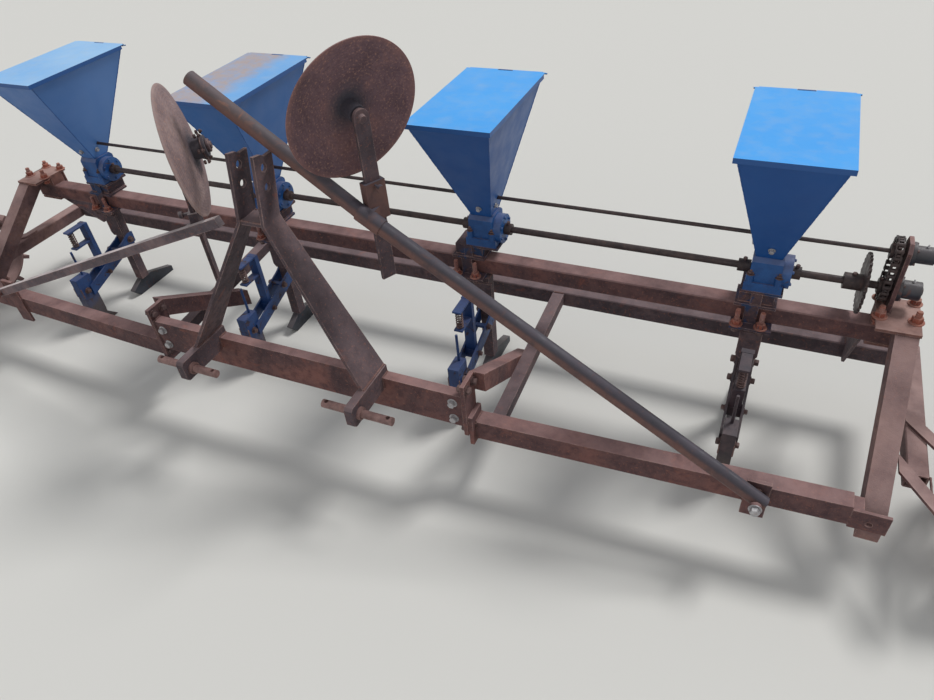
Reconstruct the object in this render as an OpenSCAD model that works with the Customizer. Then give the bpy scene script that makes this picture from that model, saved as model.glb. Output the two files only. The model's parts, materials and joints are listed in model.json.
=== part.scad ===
// Four row seed drill for a tractor's three point hitch.
// X runs along the toolbar to the machine's right, Y points rearward, Z is up.
// The ground is at Z = 0 and the drill stands on its wheels, boots and runner shoes.

/* [Rows] */
// Distance between neighbouring rows
row_pitch = 750; // [735:1:765]
// Toolbar length beyond the outer row's axis
bar_overhang = 350; // [345:1:360]

/* [Frame] */
// Side of the square toolbar
bar_side = 50; // [48:1:52]
// Wall of the square tubes
tube_wall = 4; // [3:0.5:6]
// Height of the toolbar's top above the ground
bar_top = 420; // [418:1:422]
// Side of the square lower rail
rail_side = 50; // [46:1:54]
// Height of the lower rail's top above the ground
rail_top = 245; // [242:1:248]
// Length of the lower rail beyond the toolbar's end
rail_overhang = 25; // [22:1:28]
// Distance from the toolbar's rear face to the lower rail
rail_gap = 90; // [80:1:100]
// Half length of the front beam
beam_half = 500; // [490:1:520]
// Height of the front beam's channel
beam_h = 105; // [95:1:115]
// Depth of the front beam's channel
beam_d = 30; // [26:1:36]
// Wall of the front beam's channel
beam_wall = 6; // [4:0.5:8]
// Height of the front beam's top above the ground
beam_top = 330; // [326:1:334]
// Height of the wing tubes
wing_h = 60; // [52:1:64]
// Depth of the wing tubes
wing_d = 45; // [40:1:50]
// Height of the wings' top above the ground
wing_top = 235; // [230:1:238]
// Rearward sweep of each wing in degrees
wing_sweep = 2.3; // [1.5:0.1:2.8]
// Thickness of the bolted joint plates
joint_t = 12; // [10:1:14]
// Side of the sloping end beams
end_side = 50; // [46:1:50]
// Slope of the end beams in degrees
end_slope = 37.4; // [36.5:0.1:38]
// Width of the struts to the lower rail
strut_w = 36; // [30:1:40]
// Width of the short braces
brace_w = 40; // [34:1:41]

/* [Hitch] */
// Distance of the hitch arms from the middle
arm_x = 265; // [250:1:280]
// Thickness of the hitch arms
arm_t = 24; // [20:1:28]
// Radius of the lower link pins
pin_r = 11; // [10:0.5:14]
// Length of each lower link pin
pin_len = 200; // [180:1:220]
// Thickness of the mast plates
mast_t = 9; // [8:0.5:12]
// Clear distance between the two mast plates
mast_gap = 61; // [52:1:70]
// Radius of the holes for the top link
link_hole_r = 9.75; // [8:0.25:12]
// Width of the mast plates above the bend
mast_w = 65; // [58:1:68]
// Height of the mast's rear shoulder above the ground
mast_top = 885; // [875:1:895]

/* [Seed boxes] */
// Width of a seed box at its top
box_w = 214; // [200:1:224]
// Length of a seed box at its top
box_l = 382; // [360:1:390]
// Width of the square mouth at a seed box's bottom
mouth_w = 58; // [50:1:64]
// Sheet thickness of the seed boxes
sheet = 2.5; // [2:0.5:4]
// Height of the lids' top above the ground
lid_top = 880; // [870:1:890]
// How far the lid stands over the seed box
lid_over = 6; // [5:0.5:9]
// Height of the lid's folded rim
lid_rim = 12; // [8:1:18]
// Radius of the lid's hinge barrel
knuckle_r = 4; // [3.5:0.5:5]

/* [Seed meters] */
// Width of a meter housing
meter_w = 90; // [84:1:96]
// Depth of a meter housing
meter_d = 80; // [74:1:84]
// Height of a meter housing
meter_h = 90; // [86:1:94]
// Radius of the meter shaft
meter_shaft_r = 9; // [8:0.5:10]
// Radius of the agitator shaft
agitator_r = 5; // [4:0.5:6]

/* [Drive] */
// Pitch of the short chain
short_pitch = 15.875; // [15.5:0.125:16.25]
// Teeth of the two short chain sprockets
short_teeth = 12; // [12:4:12]
// Links between the two shafts of the short chain
short_run = 6; // [6:1:6]
// Pitch of the wheel drive chain
drive_pitch = 19.05; // [18.9:0.05:19.2]
// Teeth of the two wheel drive sprockets
drive_teeth = 16; // [16:4:16]
// Links between wheel axle and agitator shaft
drive_run = 26; // [26:1:26]
// Radius of the large sprocket over its teeth
big_sprocket_r = 74; // [68:1:80]

/* [Openers] */
// Side of the square opener shank
shank = 34; // [30:1:38]
// Length of the runner shoe
shoe_len = 210; // [180:1:230]
// Outer radius of the pressure spring
spring_r = 11; // [10:0.5:12]

/* [Wheels] */
// Radius of the ground wheels over their lugs
wheel_r = 190; // [186:1:194]
// Width of the ground wheels
wheel_w = 80; // [70:1:90]
// Height of the wheel lugs
lug_h = 25; // [18:1:30]
// Radius of the stub axles
axle_r = 15; // [12:0.5:18]

/* [Discs] */
// Radius of the marker discs
disc_r = 159; // [150:1:161]
// Thickness of the marker discs
disc_t = 4; // [3:0.5:5]
// Depth of the marker discs' dish
disc_dish = 22; // [16:1:24]
// Width of the flat legs that carry the discs
leg_w = 38; // [34:1:40]
// Thickness of the flat legs that carry the discs
leg_t = 10; // [8:1:12]

/* [Markers] */
// Radius of the round marker pole
pole_r = 18; // [16:0.5:20]
// Length of the round marker pole beyond its pivot
pole_len = 1580; // [1545:5:1600]
// Angle of the bend in the marker pole
pole_bend = 3; // [0.5:0.5:4]
// Height of the flat marker bar
mbar_h = 25; // [22:1:28]
// Depth of the flat marker bar
mbar_d = 20; // [18:1:24]
// Length of the flat marker bar beyond its pivot
mbar_len = 1180; // [1150:5:1190]

/* [Hidden] */
$fn = 48;

// Gap between a resting piece and its seat
rest_gap = 0.3;
// Running gap of a shaft in its bearing
run_gap = 0.1;
// Running gap of a shaft in a wall that it only passes through
wall_gap = 1;

// Frame planes in Y and Z
bar_y = -35;
bar_back = bar_y + bar_side;
bar_low = bar_top - bar_side;
bar_half = 1.5 * row_pitch + bar_overhang;
rail_y = bar_back + rail_gap;
rail_low = rail_top - rail_side;
rail_half = bar_half + rail_overhang;
beam_y = -500;
beam_low = beam_top - beam_h;
flange_x = beam_half + joint_t;
wing_x = flange_x + joint_t;
wing_y = -484;
wing_low = wing_top - wing_h;
function wing_front(x) = wing_y + (x - wing_x) * tan(wing_sweep);

// Sloping end beams
end_x1 = bar_half - 3;
end_x0 = end_x1 - end_side;
end_plate_z = bar_top + 32;
end_plate_t = 8;
end_front_y = -440;
end_plate_y = -100;
function end_upper(y) = end_plate_z + (y - end_plate_y) * tan(end_slope);
function end_lower(y) = end_upper(y) - end_side / cos(end_slope);
corner_x = end_x0 - 23;

// Struts and braces beside the joint plates
brace_x0 = beam_half + 1;
brace_x1 = brace_x0 + brace_w;
brace_front = beam_y + 58;
brace_rear = -112;
brace_depth = 60;
brace_top = 370;
brace_fall = 0.585;
strut_front_z = 160;
strut_rear_z = 207;

// Hitch
arm_top = beam_top + 23;
arm_low = beam_top - 40;
arm_tip = -650;
pin_y = -620;
pin_z = 318;
mast_foot_x = arm_x - 5;
mast_x = mast_gap / 2;
mast_bend_z = 737;
mast_bend_y = -505;
link_holes = [[-450, mast_top - 23], [-455, mast_top - 68]];

// Seed boxes, meters and their shafts
meter_low = bar_top + 49;
meter_top = meter_low + meter_h;
meter_slim = 9;
meter_axis_z = meter_low + 42;
agitator_z = meter_axis_z + short_run * short_pitch;
box_low = meter_top;
lid_t = 2;
box_top = lid_top - lid_t - rest_gap;
lid_half_w = box_w / 2 + lid_over;
lid_half_l = box_l / 2 + lid_over;
hinge_y = lid_half_l + 3;
hinge_z = lid_top - knuckle_r;
knuckle_half = 20;
barrel_half = lid_half_w - 8;
hinge_end = lid_half_w + 4;
hinge_pin_r = 2;
side_plate_t = 13;
side_plate_r = 42;
row_n = 4;
function row_x(i) = (i - (row_n - 1) / 2) * row_pitch;

// Drive at the right end
short_roller = 5;
drive_roller = 6;
short_width = 9;
drive_width = 11;
tooth_gap = 0.8;
short_face = short_width / 2 - tooth_gap;
drive_face = drive_width / 2 - tooth_gap;
plate_x = bar_half - 75;
plate_t = 10;
short_x = plate_x - 16;
big_x = plate_x - 60;
bearing_len = 49;
side_x = rail_half;
side_w = 45;
carrier_x = side_x + side_w + 55;
carrier_t = 8;
drive_x = carrier_x + carrier_t + 18;
wheel_x = carrier_x + 100;
axle_z = wheel_r;
drive_c = drive_run * drive_pitch;
axle_y = -sqrt(drive_c * drive_c - (agitator_z - axle_z) * (agitator_z - axle_z));
drive_angle = atan2(agitator_z - axle_z, -axle_y);
hub_r = 28;
hub_x0 = carrier_x + carrier_t + 8;
hub_x1 = wheel_x + wheel_w / 2 + 18;
axle_end = hub_x1 + 12;

// Openers
clamp_bolts = [-35, 24];
clamp_shift = [-7, -7, -43, -7];
clamp_t = 8;
shank_y = -29;
shank_foot = 58;
leg_plate_w = 55;
arm_bar_t = 6;
boot_w = shank;
boot_front = -300;
boot_back = -240;
boot_top = 213;
arm_pin_z = 231;
arm_tie = [-90, 217];

// Markers
marker_in = 270;
marker_x = bar_half - marker_in;
marker_y = -488;
marker_plane = -466;
pole_pivot_z = 229;
mbar_pivot_z = 280;
marker_pin_r = 8;
mbar_tilt = 22;
// The pole leans on the mast's shoulder; it has a slight bend and drifts to the rear
pole_drift = 3.4;
pole_kink = pole_len - 517;
mast_corner = [mast_x + mast_t, mast_top];
pole_reach = norm([marker_x - mast_corner[0], mast_corner[1] - pole_pivot_z]);
pole_tilt = atan2(mast_corner[1] - pole_pivot_z, marker_x - mast_corner[0]) - pole_bend
    + asin((pole_r + 2 * rest_gap + pole_kink * sin(pole_bend)) / pole_reach);
pole_pivot = [marker_x, marker_y, pole_pivot_z];
function pole_way(tilt) =
    [-cos(tilt) * cos(pole_drift), sin(pole_drift), sin(tilt) * cos(pole_drift)];
pole_corner = pole_pivot + pole_kink * pole_way(pole_tilt);
function pole_at(run) = pole_corner + (run - pole_kink) * pole_way(pole_tilt + pole_bend);
function mbar_at(run) =
    [run * cos(mbar_tilt) - marker_x, marker_y, mbar_pivot_z + run * sin(mbar_tilt)];

// Marker discs: where the leg meets its arm, heading and rise of the axle, axle height over the arm,
// and the leg's length below the axle
leg_1_at = pole_at(pole_kink + 4);
leg_2_at = mbar_at(mbar_len - 136);
leg_1_turn = 62;
leg_1_y = leg_1_at[1] + pole_r + rest_gap + leg_w / 2 * sin(leg_1_turn) + leg_t / 2 * cos(leg_1_turn);
leg_2_y = marker_y + mbar_d / 2 + 35.5;
discs = [
    [leg_1_at[0], leg_1_y, leg_1_at[2] + 220, leg_1_turn, 14.3, 401],
    [leg_2_at[0], leg_2_y, leg_2_at[2] + 188, -53.5, 5.5, 358]
];
disc_gap = 26;
disc_flat = 30;
disc_axle_r = 9;
disc_hub_r = 26;
disc_back_r = 20;
disc_back = 14;
disc_front = disc_dish + 36;
function dish(r) = disc_dish * (1 - pow(max(r - disc_flat, 0) / (disc_r - disc_flat), 2));

// The origin is on the ground under the middle of the whole drill
mid_y = (arm_tip + hinge_y + knuckle_r) / 2;
module at_origin() {
    translate([0, -mid_y, 0]) children();
}

// Extrusions of a drawn profile along one axis
module along_x(x0, x1) {
    translate([x0, 0, 0]) rotate([90, 0, 90]) linear_extrude(x1 - x0) children();
}
module along_y(y0, y1) {
    translate([0, y1, 0]) rotate([90, 0, 0]) linear_extrude(y1 - y0) children();
}
module along_z(z0, z1) {
    translate([0, 0, z0]) linear_extrude(z1 - z0) children();
}
module rod_x(x0, x1, r, y, z) {
    along_x(x0, x1) translate([y, z]) circle(r);
}
module rod_y(y0, y1, r, x, z) {
    along_y(y0, y1) translate([x, z]) circle(r);
}
module rod_z(z0, z1, r, x, y) {
    along_z(z0, z1) translate([x, y]) circle(r);
}
module nut_z(z0, h, af, x, y) {
    along_z(z0, z0 + h) translate([x, y]) circle(af / sqrt(3), $fn = 6);
}
module both_sides() {
    children();
    mirror([1, 0, 0]) children();
}
module each_row() {
    for (i = [0 : row_n - 1]) translate([row_x(i), 0, 0]) children();
}

// A rectangle with cut corners
module tube_outline(w, h, c) {
    polygon([[c, 0], [w - c, 0], [w, c], [w, h - c], [w - c, h], [c, h], [0, h - c], [0, c]]);
}
module square_tube(w, h, wall) {
    difference() {
        tube_outline(w, h, wall * 0.8);
        translate([wall, wall]) square([w - 2 * wall, h - 2 * wall]);
    }
}

// Frame
module toolbar() {
    color([0.42, 0.25, 0.2]) at_origin()
        along_x(-bar_half, bar_half) translate([bar_y, bar_low]) square_tube(bar_side, bar_side, tube_wall);
}

module front_beam() {
    color([0.42, 0.25, 0.2]) at_origin()
        along_x(-beam_half, beam_half) translate([beam_y, beam_low])
            difference() {
                square([beam_d, beam_h]);
                translate([beam_wall, beam_wall]) square([beam_d, beam_h - 2 * beam_wall]);
            }
}

module wings() {
    color([0.4, 0.24, 0.2]) at_origin() both_sides()
        along_z(wing_low, wing_top)
            polygon([
                [wing_x, wing_front(wing_x)],
                [corner_x, wing_front(corner_x)],
                [corner_x, wing_front(corner_x) + wing_d],
                [wing_x, wing_front(wing_x) + wing_d]
            ]);
}

module end_beams() {
    meet_y = bar_y;
    color([0.45, 0.28, 0.23]) at_origin() both_sides()
        along_x(end_x0, end_x1)
            polygon([
                [end_front_y, end_lower(end_front_y)],
                [end_front_y, end_upper(end_front_y)],
                [end_plate_y, end_plate_z],
                [meet_y, end_plate_z],
                [meet_y, min(end_lower(meet_y), end_plate_z - 6)]
            ]);
}

// Spacer, top plate, lower plate and clamp bolts at the toolbar's ends
module end_clamps() {
    clamp_x0 = end_x0 - 42;
    bolt_x = [clamp_x0 + 8, end_x1 - 8];
    bolt_r = 6;
    color([0.5, 0.26, 0.2]) at_origin() both_sides() {
        difference() {
            union() {
                along_x(clamp_x0, bar_half) translate([end_plate_y, end_plate_z])
                    square([bar_back + 20 - end_plate_y, end_plate_t]);
                along_x(clamp_x0, bar_half) translate([bar_y, bar_top])
                    square([bar_side, end_plate_z - bar_top]);
            }
            for (x = bolt_x) rod_z(bar_top, end_plate_z + 2 * end_plate_t, bolt_r, x, bar_back + 9);
        }
        for (x = bolt_x) {
            rod_z(bar_low - 24, end_plate_z + end_plate_t + 20, bolt_r, x, bar_back + 9);
            nut_z(end_plate_z + end_plate_t, 11, 19, x, bar_back + 9);
        }
        difference() {
            along_x(clamp_x0, end_x1) translate([bar_y, bar_low - end_plate_t])
                square([bar_side + 20, end_plate_t]);
            for (x = bolt_x) rod_z(bar_low - 24, bar_low + 5, bolt_r, x, bar_back + 9);
        }
    }
}

// Corner block and drilled front plate where the wing meets the end beam
module end_brackets() {
    hole_r = 7;
    color([0.4, 0.22, 0.18]) at_origin() both_sides()
        difference() {
            union() {
                along_y(end_front_y - 8, end_front_y) translate([corner_x, wing_low - 8])
                    square([end_x1 + 4 - corner_x, 58]);
                along_z(wing_low, wing_top - 10) translate([corner_x, end_front_y])
                    square([end_x0 - corner_x, wing_front(corner_x) + wing_d - end_front_y]);
            }
            rod_y(end_front_y - 9, end_front_y + 1, hole_r, corner_x + 39, wing_low + 15);
        }
}

module lower_rail() {
    color([0.36, 0.22, 0.19]) at_origin()
        along_x(-rail_half, rail_half) translate([rail_y, rail_low]) square_tube(rail_side, rail_side, tube_wall);
}

// Level beams outside the frame that carry the wheels
module side_beams() {
    color([0.5, 0.32, 0.27]) at_origin() both_sides()
        along_y(-320, rail_y + rail_side) translate([side_x, rail_top - side_w])
            square_tube(side_w, side_w, tube_wall);
}

module struts() {
    x0 = brace_x1;
    x1 = brace_x1 + strut_w;
    back = wing_d;
    color([0.36, 0.24, 0.22]) at_origin() both_sides()
        intersection() {
            along_z(0, bar_top)
                polygon([
                    [x0, wing_front(x0) + back], [x1, wing_front(x1) + back], [x1, rail_y], [x0, rail_y]
                ]);
            along_x(x0, x1)
                polygon([
                    [wing_y, strut_front_z], [wing_y, strut_front_z + strut_w],
                    [rail_y, strut_rear_z + strut_w], [rail_y, strut_rear_z]
                ]);
        }
}

module braces() {
    drop = (brace_rear - brace_front) * brace_fall;
    color([0.5, 0.33, 0.3]) at_origin() both_sides()
        along_x(brace_x0, brace_x1)
            polygon([
                [brace_front, brace_top], [brace_rear, brace_top - drop],
                [brace_rear, brace_top - drop - brace_depth], [brace_front, brace_top - brace_depth]
            ]);
}

// The two bolted plates at each end of the front beam
module joint_plates() {
    color([0.38, 0.22, 0.19]) at_origin() both_sides() {
        along_x(beam_half, flange_x) translate([beam_y - 5, beam_low - 25])
            square([brace_front - beam_y + 5, brace_top - beam_low + 25]);
        along_x(flange_x, wing_x) translate([wing_y - 16, wing_low - 10])
            square([wing_d + 16, wing_h + 37]);
    }
}

// Plates that join the toolbar and the lower rail near their ends
module end_hangers() {
    x0 = bar_half - 109;
    color([0.33, 0.22, 0.2]) at_origin() both_sides()
        along_x(x0, x0 + 8)
            polygon([
                [bar_y + 5, bar_low], [bar_back, bar_low], [rail_y + 45, rail_top + 22],
                [rail_y + 45, rail_top], [rail_y, rail_top], [rail_y, rail_low + 5], [rail_y - 22, rail_low + 5]
            ]);
}

// Two flat bars bent outward to the hitch arms, tied by a small cross plate
module mast() {
    lean = 35;
    shin = mast_t / cos(atan2(mast_foot_x - mast_x, mast_bend_z - arm_top));
    foot_front = -580;
    foot_back = -470;
    color([0.36, 0.22, 0.2]) at_origin() {
        difference() {
            intersection() {
                both_sides()
                    along_y(-700, -300)
                        polygon([
                            [mast_foot_x, arm_top], [mast_foot_x + shin, arm_top],
                            [mast_x + mast_t, mast_bend_z + 2], [mast_x + mast_t, mast_top + 20],
                            [mast_x, mast_top + 20], [mast_x, mast_bend_z]
                        ]);
                along_x(-arm_x * 2, arm_x * 2)
                    polygon([
                        [foot_front, arm_top], [mast_bend_y, mast_bend_z],
                        [mast_bend_y + lean - 5, mast_top + 13], [mast_bend_y + lean + 20, mast_top + 8],
                        [mast_bend_y + lean + 32, mast_top], [mast_bend_y + lean + mast_w - 5, mast_top],
                        [mast_bend_y + mast_w, mast_bend_z], [foot_back, arm_top]
                    ]);
            }
            for (h = link_holes) rod_x(-100, 100, link_hole_r, h[0], h[1]);
        }
        along_x(-mast_x, mast_x) translate([mast_bend_y + 4, mast_bend_z - 4]) square([mast_w - 8, 10]);
    }
}

module hitch_arms() {
    color([0.36, 0.22, 0.2]) at_origin() both_sides()
        difference() {
            along_x(arm_x - arm_t / 2, arm_x + arm_t / 2)
                polygon([
                    [arm_tip, arm_low + 8], [arm_tip + 8, arm_low], [beam_y, arm_low], [beam_y, beam_top],
                    [beam_y + beam_d, beam_top], [beam_y + beam_d, arm_top], [arm_tip + 8, arm_top],
                    [arm_tip, arm_top - 8]
                ]);
            rod_x(arm_x - arm_t, arm_x + arm_t, pin_r + run_gap, pin_y, pin_z);
        }
}

// Lower link pins with a collar on each side of the arm and a cross hole at each end
module link_pins() {
    x0 = arm_x + 5 - pin_len / 2;
    collar = 8;
    cross = 12;
    color([0.3, 0.2, 0.18]) at_origin() both_sides()
        difference() {
            union() {
                rod_x(x0, x0 + pin_len, pin_r, pin_y, pin_z);
                rod_x(arm_x + arm_t / 2 + 0.05, arm_x + arm_t / 2 + collar, pin_r + 6, pin_y, pin_z);
                rod_x(arm_x - arm_t / 2 - collar, arm_x - arm_t / 2 - 0.05, pin_r + 6, pin_y, pin_z);
            }
            for (x = [x0 + cross, x0 + pin_len - cross]) rod_z(pin_z - 20, pin_z + 20, 5.5, x, pin_y);
        }
}

// Seed boxes
module box_solid(inset, z0, z1) {
    slope_w = (box_w - mouth_w) / 2 / (box_top - box_low);
    slope_l = (box_l - mouth_w) / 2 / (box_top - box_low);
    w0 = mouth_w / 2 - inset + (z0 - box_low) * slope_w;
    w1 = mouth_w / 2 - inset + (z1 - box_low) * slope_w;
    l0 = mouth_w / 2 - inset + (z0 - box_low) * slope_l;
    l1 = mouth_w / 2 - inset + (z1 - box_low) * slope_l;
    intersection() {
        along_y(-box_l, box_l) polygon([[-w0, z0], [w0, z0], [w1, z1], [-w1, z1]]);
        along_x(-box_l, box_l) polygon([[-l0, z0], [l0, z0], [l1, z1], [-l1, z1]]);
    }
}

module hopper(i) {
    color([0.08, 0.3, 0.52]) at_origin() translate([row_x(i), 0, 0]) {
        difference() {
            box_solid(0, box_low, box_top);
            box_solid(sheet, box_low - 5, box_top + 5);
            rod_x(-box_w, box_w, agitator_r + wall_gap, 0, agitator_z);
        }
        difference() {
            union() {
                rod_x(-knuckle_half, knuckle_half, knuckle_r, hinge_y, hinge_z);
                along_x(-knuckle_half, knuckle_half)
                    polygon([
                        [box_l / 2 - 4.5, hinge_z - 6], [box_l / 2 - 3, box_top - 4],
                        [hinge_y, hinge_z + 1.5], [hinge_y, hinge_z - knuckle_r + 0.5], [hinge_y - 3, hinge_z - 6]
                    ]);
            }
            rod_x(-barrel_half, barrel_half, hinge_pin_r + run_gap, hinge_y, hinge_z);
        }
    }
}

// Sheet lid with a rim on three sides and hinge barrels at the rear
module lid(i) {
    notch = knuckle_half + 1;
    rear = hinge_y;
    color([0.25, 0.55, 0.85]) at_origin() translate([row_x(i), 0, 0]) {
        difference() {
            union() {
                along_z(lid_top - lid_t, lid_top)
                    polygon([
                        [-lid_half_w, -lid_half_l], [lid_half_w, -lid_half_l], [lid_half_w, lid_half_l],
                        [barrel_half, lid_half_l], [barrel_half, rear], [-barrel_half, rear],
                        [-barrel_half, lid_half_l], [-lid_half_w, lid_half_l]
                    ]);
                for (s = [-1, 1])
                    rod_x(min(s * notch, s * barrel_half), max(s * notch, s * barrel_half),
                        knuckle_r, hinge_y, hinge_z);
            }
            along_z(lid_top - 20, lid_top + 5) translate([-notch, lid_half_l - 4]) square([2 * notch, 30]);
        }
        rod_x(-hinge_end, hinge_end, hinge_pin_r, hinge_y, hinge_z);
        along_z(lid_top - lid_rim, lid_top - lid_t)
            difference() {
                translate([-lid_half_w, -lid_half_l]) square([2 * lid_half_w, 2 * lid_half_l - 12]);
                translate([lid_t - lid_half_w, lid_t - lid_half_l])
                    square([2 * (lid_half_w - lid_t), 2 * lid_half_l]);
            }
    }
}

// Cast meter housings with a foot, two lugs and a round side plate
module meters() {
    foot_top = meter_low + 24;
    color([0.1, 0.28, 0.45]) at_origin() each_row()
        difference() {
            union() {
                along_x(meter_slim - meter_w / 2, meter_w / 2 - meter_slim)
                    translate([-meter_d / 2, meter_low]) tube_outline(meter_d, meter_h, 10);
                along_z(meter_low, foot_top)
                    translate([-meter_w / 2, -meter_d / 2 - 6]) square([meter_w, meter_d + 12]);
                rod_x(meter_w / 2 - meter_slim - 1, meter_w / 2 + side_plate_t, side_plate_r, 0, meter_axis_z);
                for (s = [-1, 1])
                    rod_z(foot_top - 4, foot_top + 20, 10, s * (meter_w / 2 - 12), -meter_d / 2 + 2);
            }
            along_z(meter_top - 20, meter_top + 5)
                square([mouth_w - 2 * sheet, mouth_w - 2 * sheet], center = true);
            rod_x(-meter_w, meter_w, meter_shaft_r + wall_gap, 0, meter_axis_z);
        }
}

// Plates under the meters, the clamp round the toolbar and its bolts; each clamp has its own sideways shift
module meter_bases() {
    half = meter_w / 2 + 5;
    bolt_r = 6;
    bolt_y = [bar_y - 23, bar_back + 10];
    bolt_top = [bar_low + 46, bar_top + clamp_t + 18];
    nut_low = [bar_low, bar_top + clamp_t];
    nut_af = [20, 16];
    face_y = bar_y - 12;
    lip_y = bar_y - 36;
    back_y = bar_back + 22;
    base_z = bar_top + clamp_t;
    color([0.32, 0.22, 0.22]) at_origin()
        for (i = [0 : row_n - 1]) {
            difference() {
                union() {
                    along_z(meter_low - 8, meter_low) translate([row_x(i) - half, -meter_d / 2 - 6])
                        square([2 * half, meter_d + 12]);
                    translate([row_x(i) + clamp_shift[i], 0, 0]) {
                        along_z(bar_top, base_z) translate([-half, face_y])
                            square([2 * half, back_y - face_y]);
                        along_z(bar_low - clamp_t, bar_low) translate([-half, lip_y])
                            square([2 * half, back_y - lip_y]);
                        along_y(face_y, bar_y) translate([clamp_bolts[0] + 13, bar_low - 1])
                            square([clamp_bolts[1] - clamp_bolts[0] - 26, bar_side + 2]);
                        along_z(base_z, meter_low - 8) translate([8 - half, bar_y - 2])
                            square([2 * half - 16, meter_d / 2 - bar_y + 2]);
                        along_y(bar_y - 8, bar_y - 1) translate([-13, base_z])
                            square([26, meter_low - 8 - base_z]);
                    }
                }
                for (x = clamp_bolts, k = [0, 1])
                    rod_z(bar_low - 30, nut_low[k] + 5, bolt_r, row_x(i) + clamp_shift[i] + x, bolt_y[k]);
            }
            for (x = clamp_bolts, k = [0, 1]) {
                rod_z(bar_low - 22, bolt_top[k], bolt_r, row_x(i) + clamp_shift[i] + x, bolt_y[k]);
                nut_z(nut_low[k], 12, nut_af[k], row_x(i) + clamp_shift[i] + x, bolt_y[k]);
                nut_z(bar_low - clamp_t - 10, 10, 16, row_x(i) + clamp_shift[i] + x, bolt_y[k]);
            }
        }
}

// Square shank with a wide head plate, hung from the clamp's lower plate
module unit_legs() {
    front = shank_y - shank / 2;
    head_top = bar_low - clamp_t;
    color([0.3, 0.2, 0.19]) at_origin() each_row()
        difference() {
            union() {
                along_z(shank_foot, head_top) translate([-shank / 2, front]) square(shank);
                along_y(front - 8, front)
                    polygon([
                        [-leg_plate_w / 2 + 8, head_top - 104], [leg_plate_w / 2 - 8, head_top - 104],
                        [leg_plate_w / 2, head_top - 92], [leg_plate_w / 2, head_top - 16],
                        [-leg_plate_w / 2, head_top - 16], [-leg_plate_w / 2, head_top - 92]
                    ]);
            }
            rod_x(-shank, shank, 6, shank_y, arm_pin_z);
        }
}

// Pairs of flat bars from the shank to the boot, the upright that holds the spring, and its rod
module opener_arms() {
    inner = shank / 2 + rest_gap;
    color([0.1, 0.28, 0.45]) at_origin() each_row() {
        for (s = [-1, 1])
            along_x(min(s * inner, s * (inner + arm_bar_t)), max(s * inner, s * (inner + arm_bar_t)))
                polygon([
                    [-8, arm_pin_z + 24], [-8, arm_pin_z - 16], [arm_tie[0] + 30, arm_tie[1] - 22],
                    [boot_back - 20, boot_top - 83], [boot_back - 20, boot_top - 43],
                    [arm_tie[0] + 30, arm_tie[1] + 23], [-30, arm_pin_z + 24]
                ]);
        rod_x(-inner, inner, 5.8, shank_y, arm_pin_z);
        rod_x(-inner, inner, 8, arm_tie[0], arm_tie[1]);
        along_x(-inner, inner) translate([-175, 158]) square([20, 30]);
        along_x(-inner + 2, inner - 2) translate([-173, 188]) square([16, 188]);
        along_z(369.3, 375) translate([-13, boot_front + 60]) square([26, 67]);
        along_z(306, 311.7) translate([-13, boot_front + 60]) square([26, 67]);
        rod_z(boot_top, 306, 4, 0, boot_back - 15);
    }
}

// Narrow seed boots that run ahead of the shanks
module boots() {
    color([0.12, 0.33, 0.6]) at_origin() each_row()
        intersection() {
            along_x(-boot_w / 2, boot_w / 2)
                polygon([
                    [boot_front, boot_top], [boot_back, boot_top], [boot_back, 40], [boot_back + 40, 0],
                    [boot_front + 15, 0], [boot_front - 8, 40], [boot_front, 90]
                ]);
            along_y(boot_front - 40, boot_back + 60)
                polygon([
                    [-boot_w / 2, boot_top], [-boot_w / 2, 60], [-8, 0], [8, 0], [boot_w / 2, 60],
                    [boot_w / 2, boot_top]
                ]);
        }
}

// Coil springs, swept as a ring of points along a helix
function coil_point(t, k, turns, r, wire, h) =
    let (a = 360 * turns * t, b = 60 * k)
    [(r + wire * cos(b)) * cos(a), (r + wire * cos(b)) * sin(a), wire + (h - 2 * wire) * t + wire * sin(b)];
module coil(turns, r, wire, h) {
    sides = 6;
    steps = turns * 12;
    polyhedron(
        points = [for (i = [0 : steps]) for (k = [0 : sides - 1]) coil_point(i / steps, k, turns, r, wire, h)],
        faces = concat(
            [[for (k = [0 : sides - 1]) k]],
            [for (i = [0 : steps - 1]) for (k = [0 : sides - 1])
                [i * sides + k, (i + 1) * sides + k, (i + 1) * sides + (k + 1) % sides, i * sides + (k + 1) % sides]],
            [[for (k = [0 : sides - 1]) steps * sides + sides - 1 - k]]
        )
    );
}
module springs() {
    wire = 2;
    color([0.25, 0.2, 0.2]) at_origin() each_row()
        translate([0, -225, 312]) coil(6, spring_r - wire, wire, 57);
}

// Runner shoes at the feet of the shanks
module shoes() {
    w = 24;
    toe = shank_y - shank / 2 - 55;
    color([0.3, 0.2, 0.18]) at_origin() each_row()
        along_x(-w / 2, w / 2)
            polygon([
                [toe + 25, 0], [toe + shoe_len, 0], [toe + shoe_len, 22], [shank_y + shank, shank_foot],
                [shank_y - shank / 2, shank_foot], [toe, 30]
            ]);
}

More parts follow.
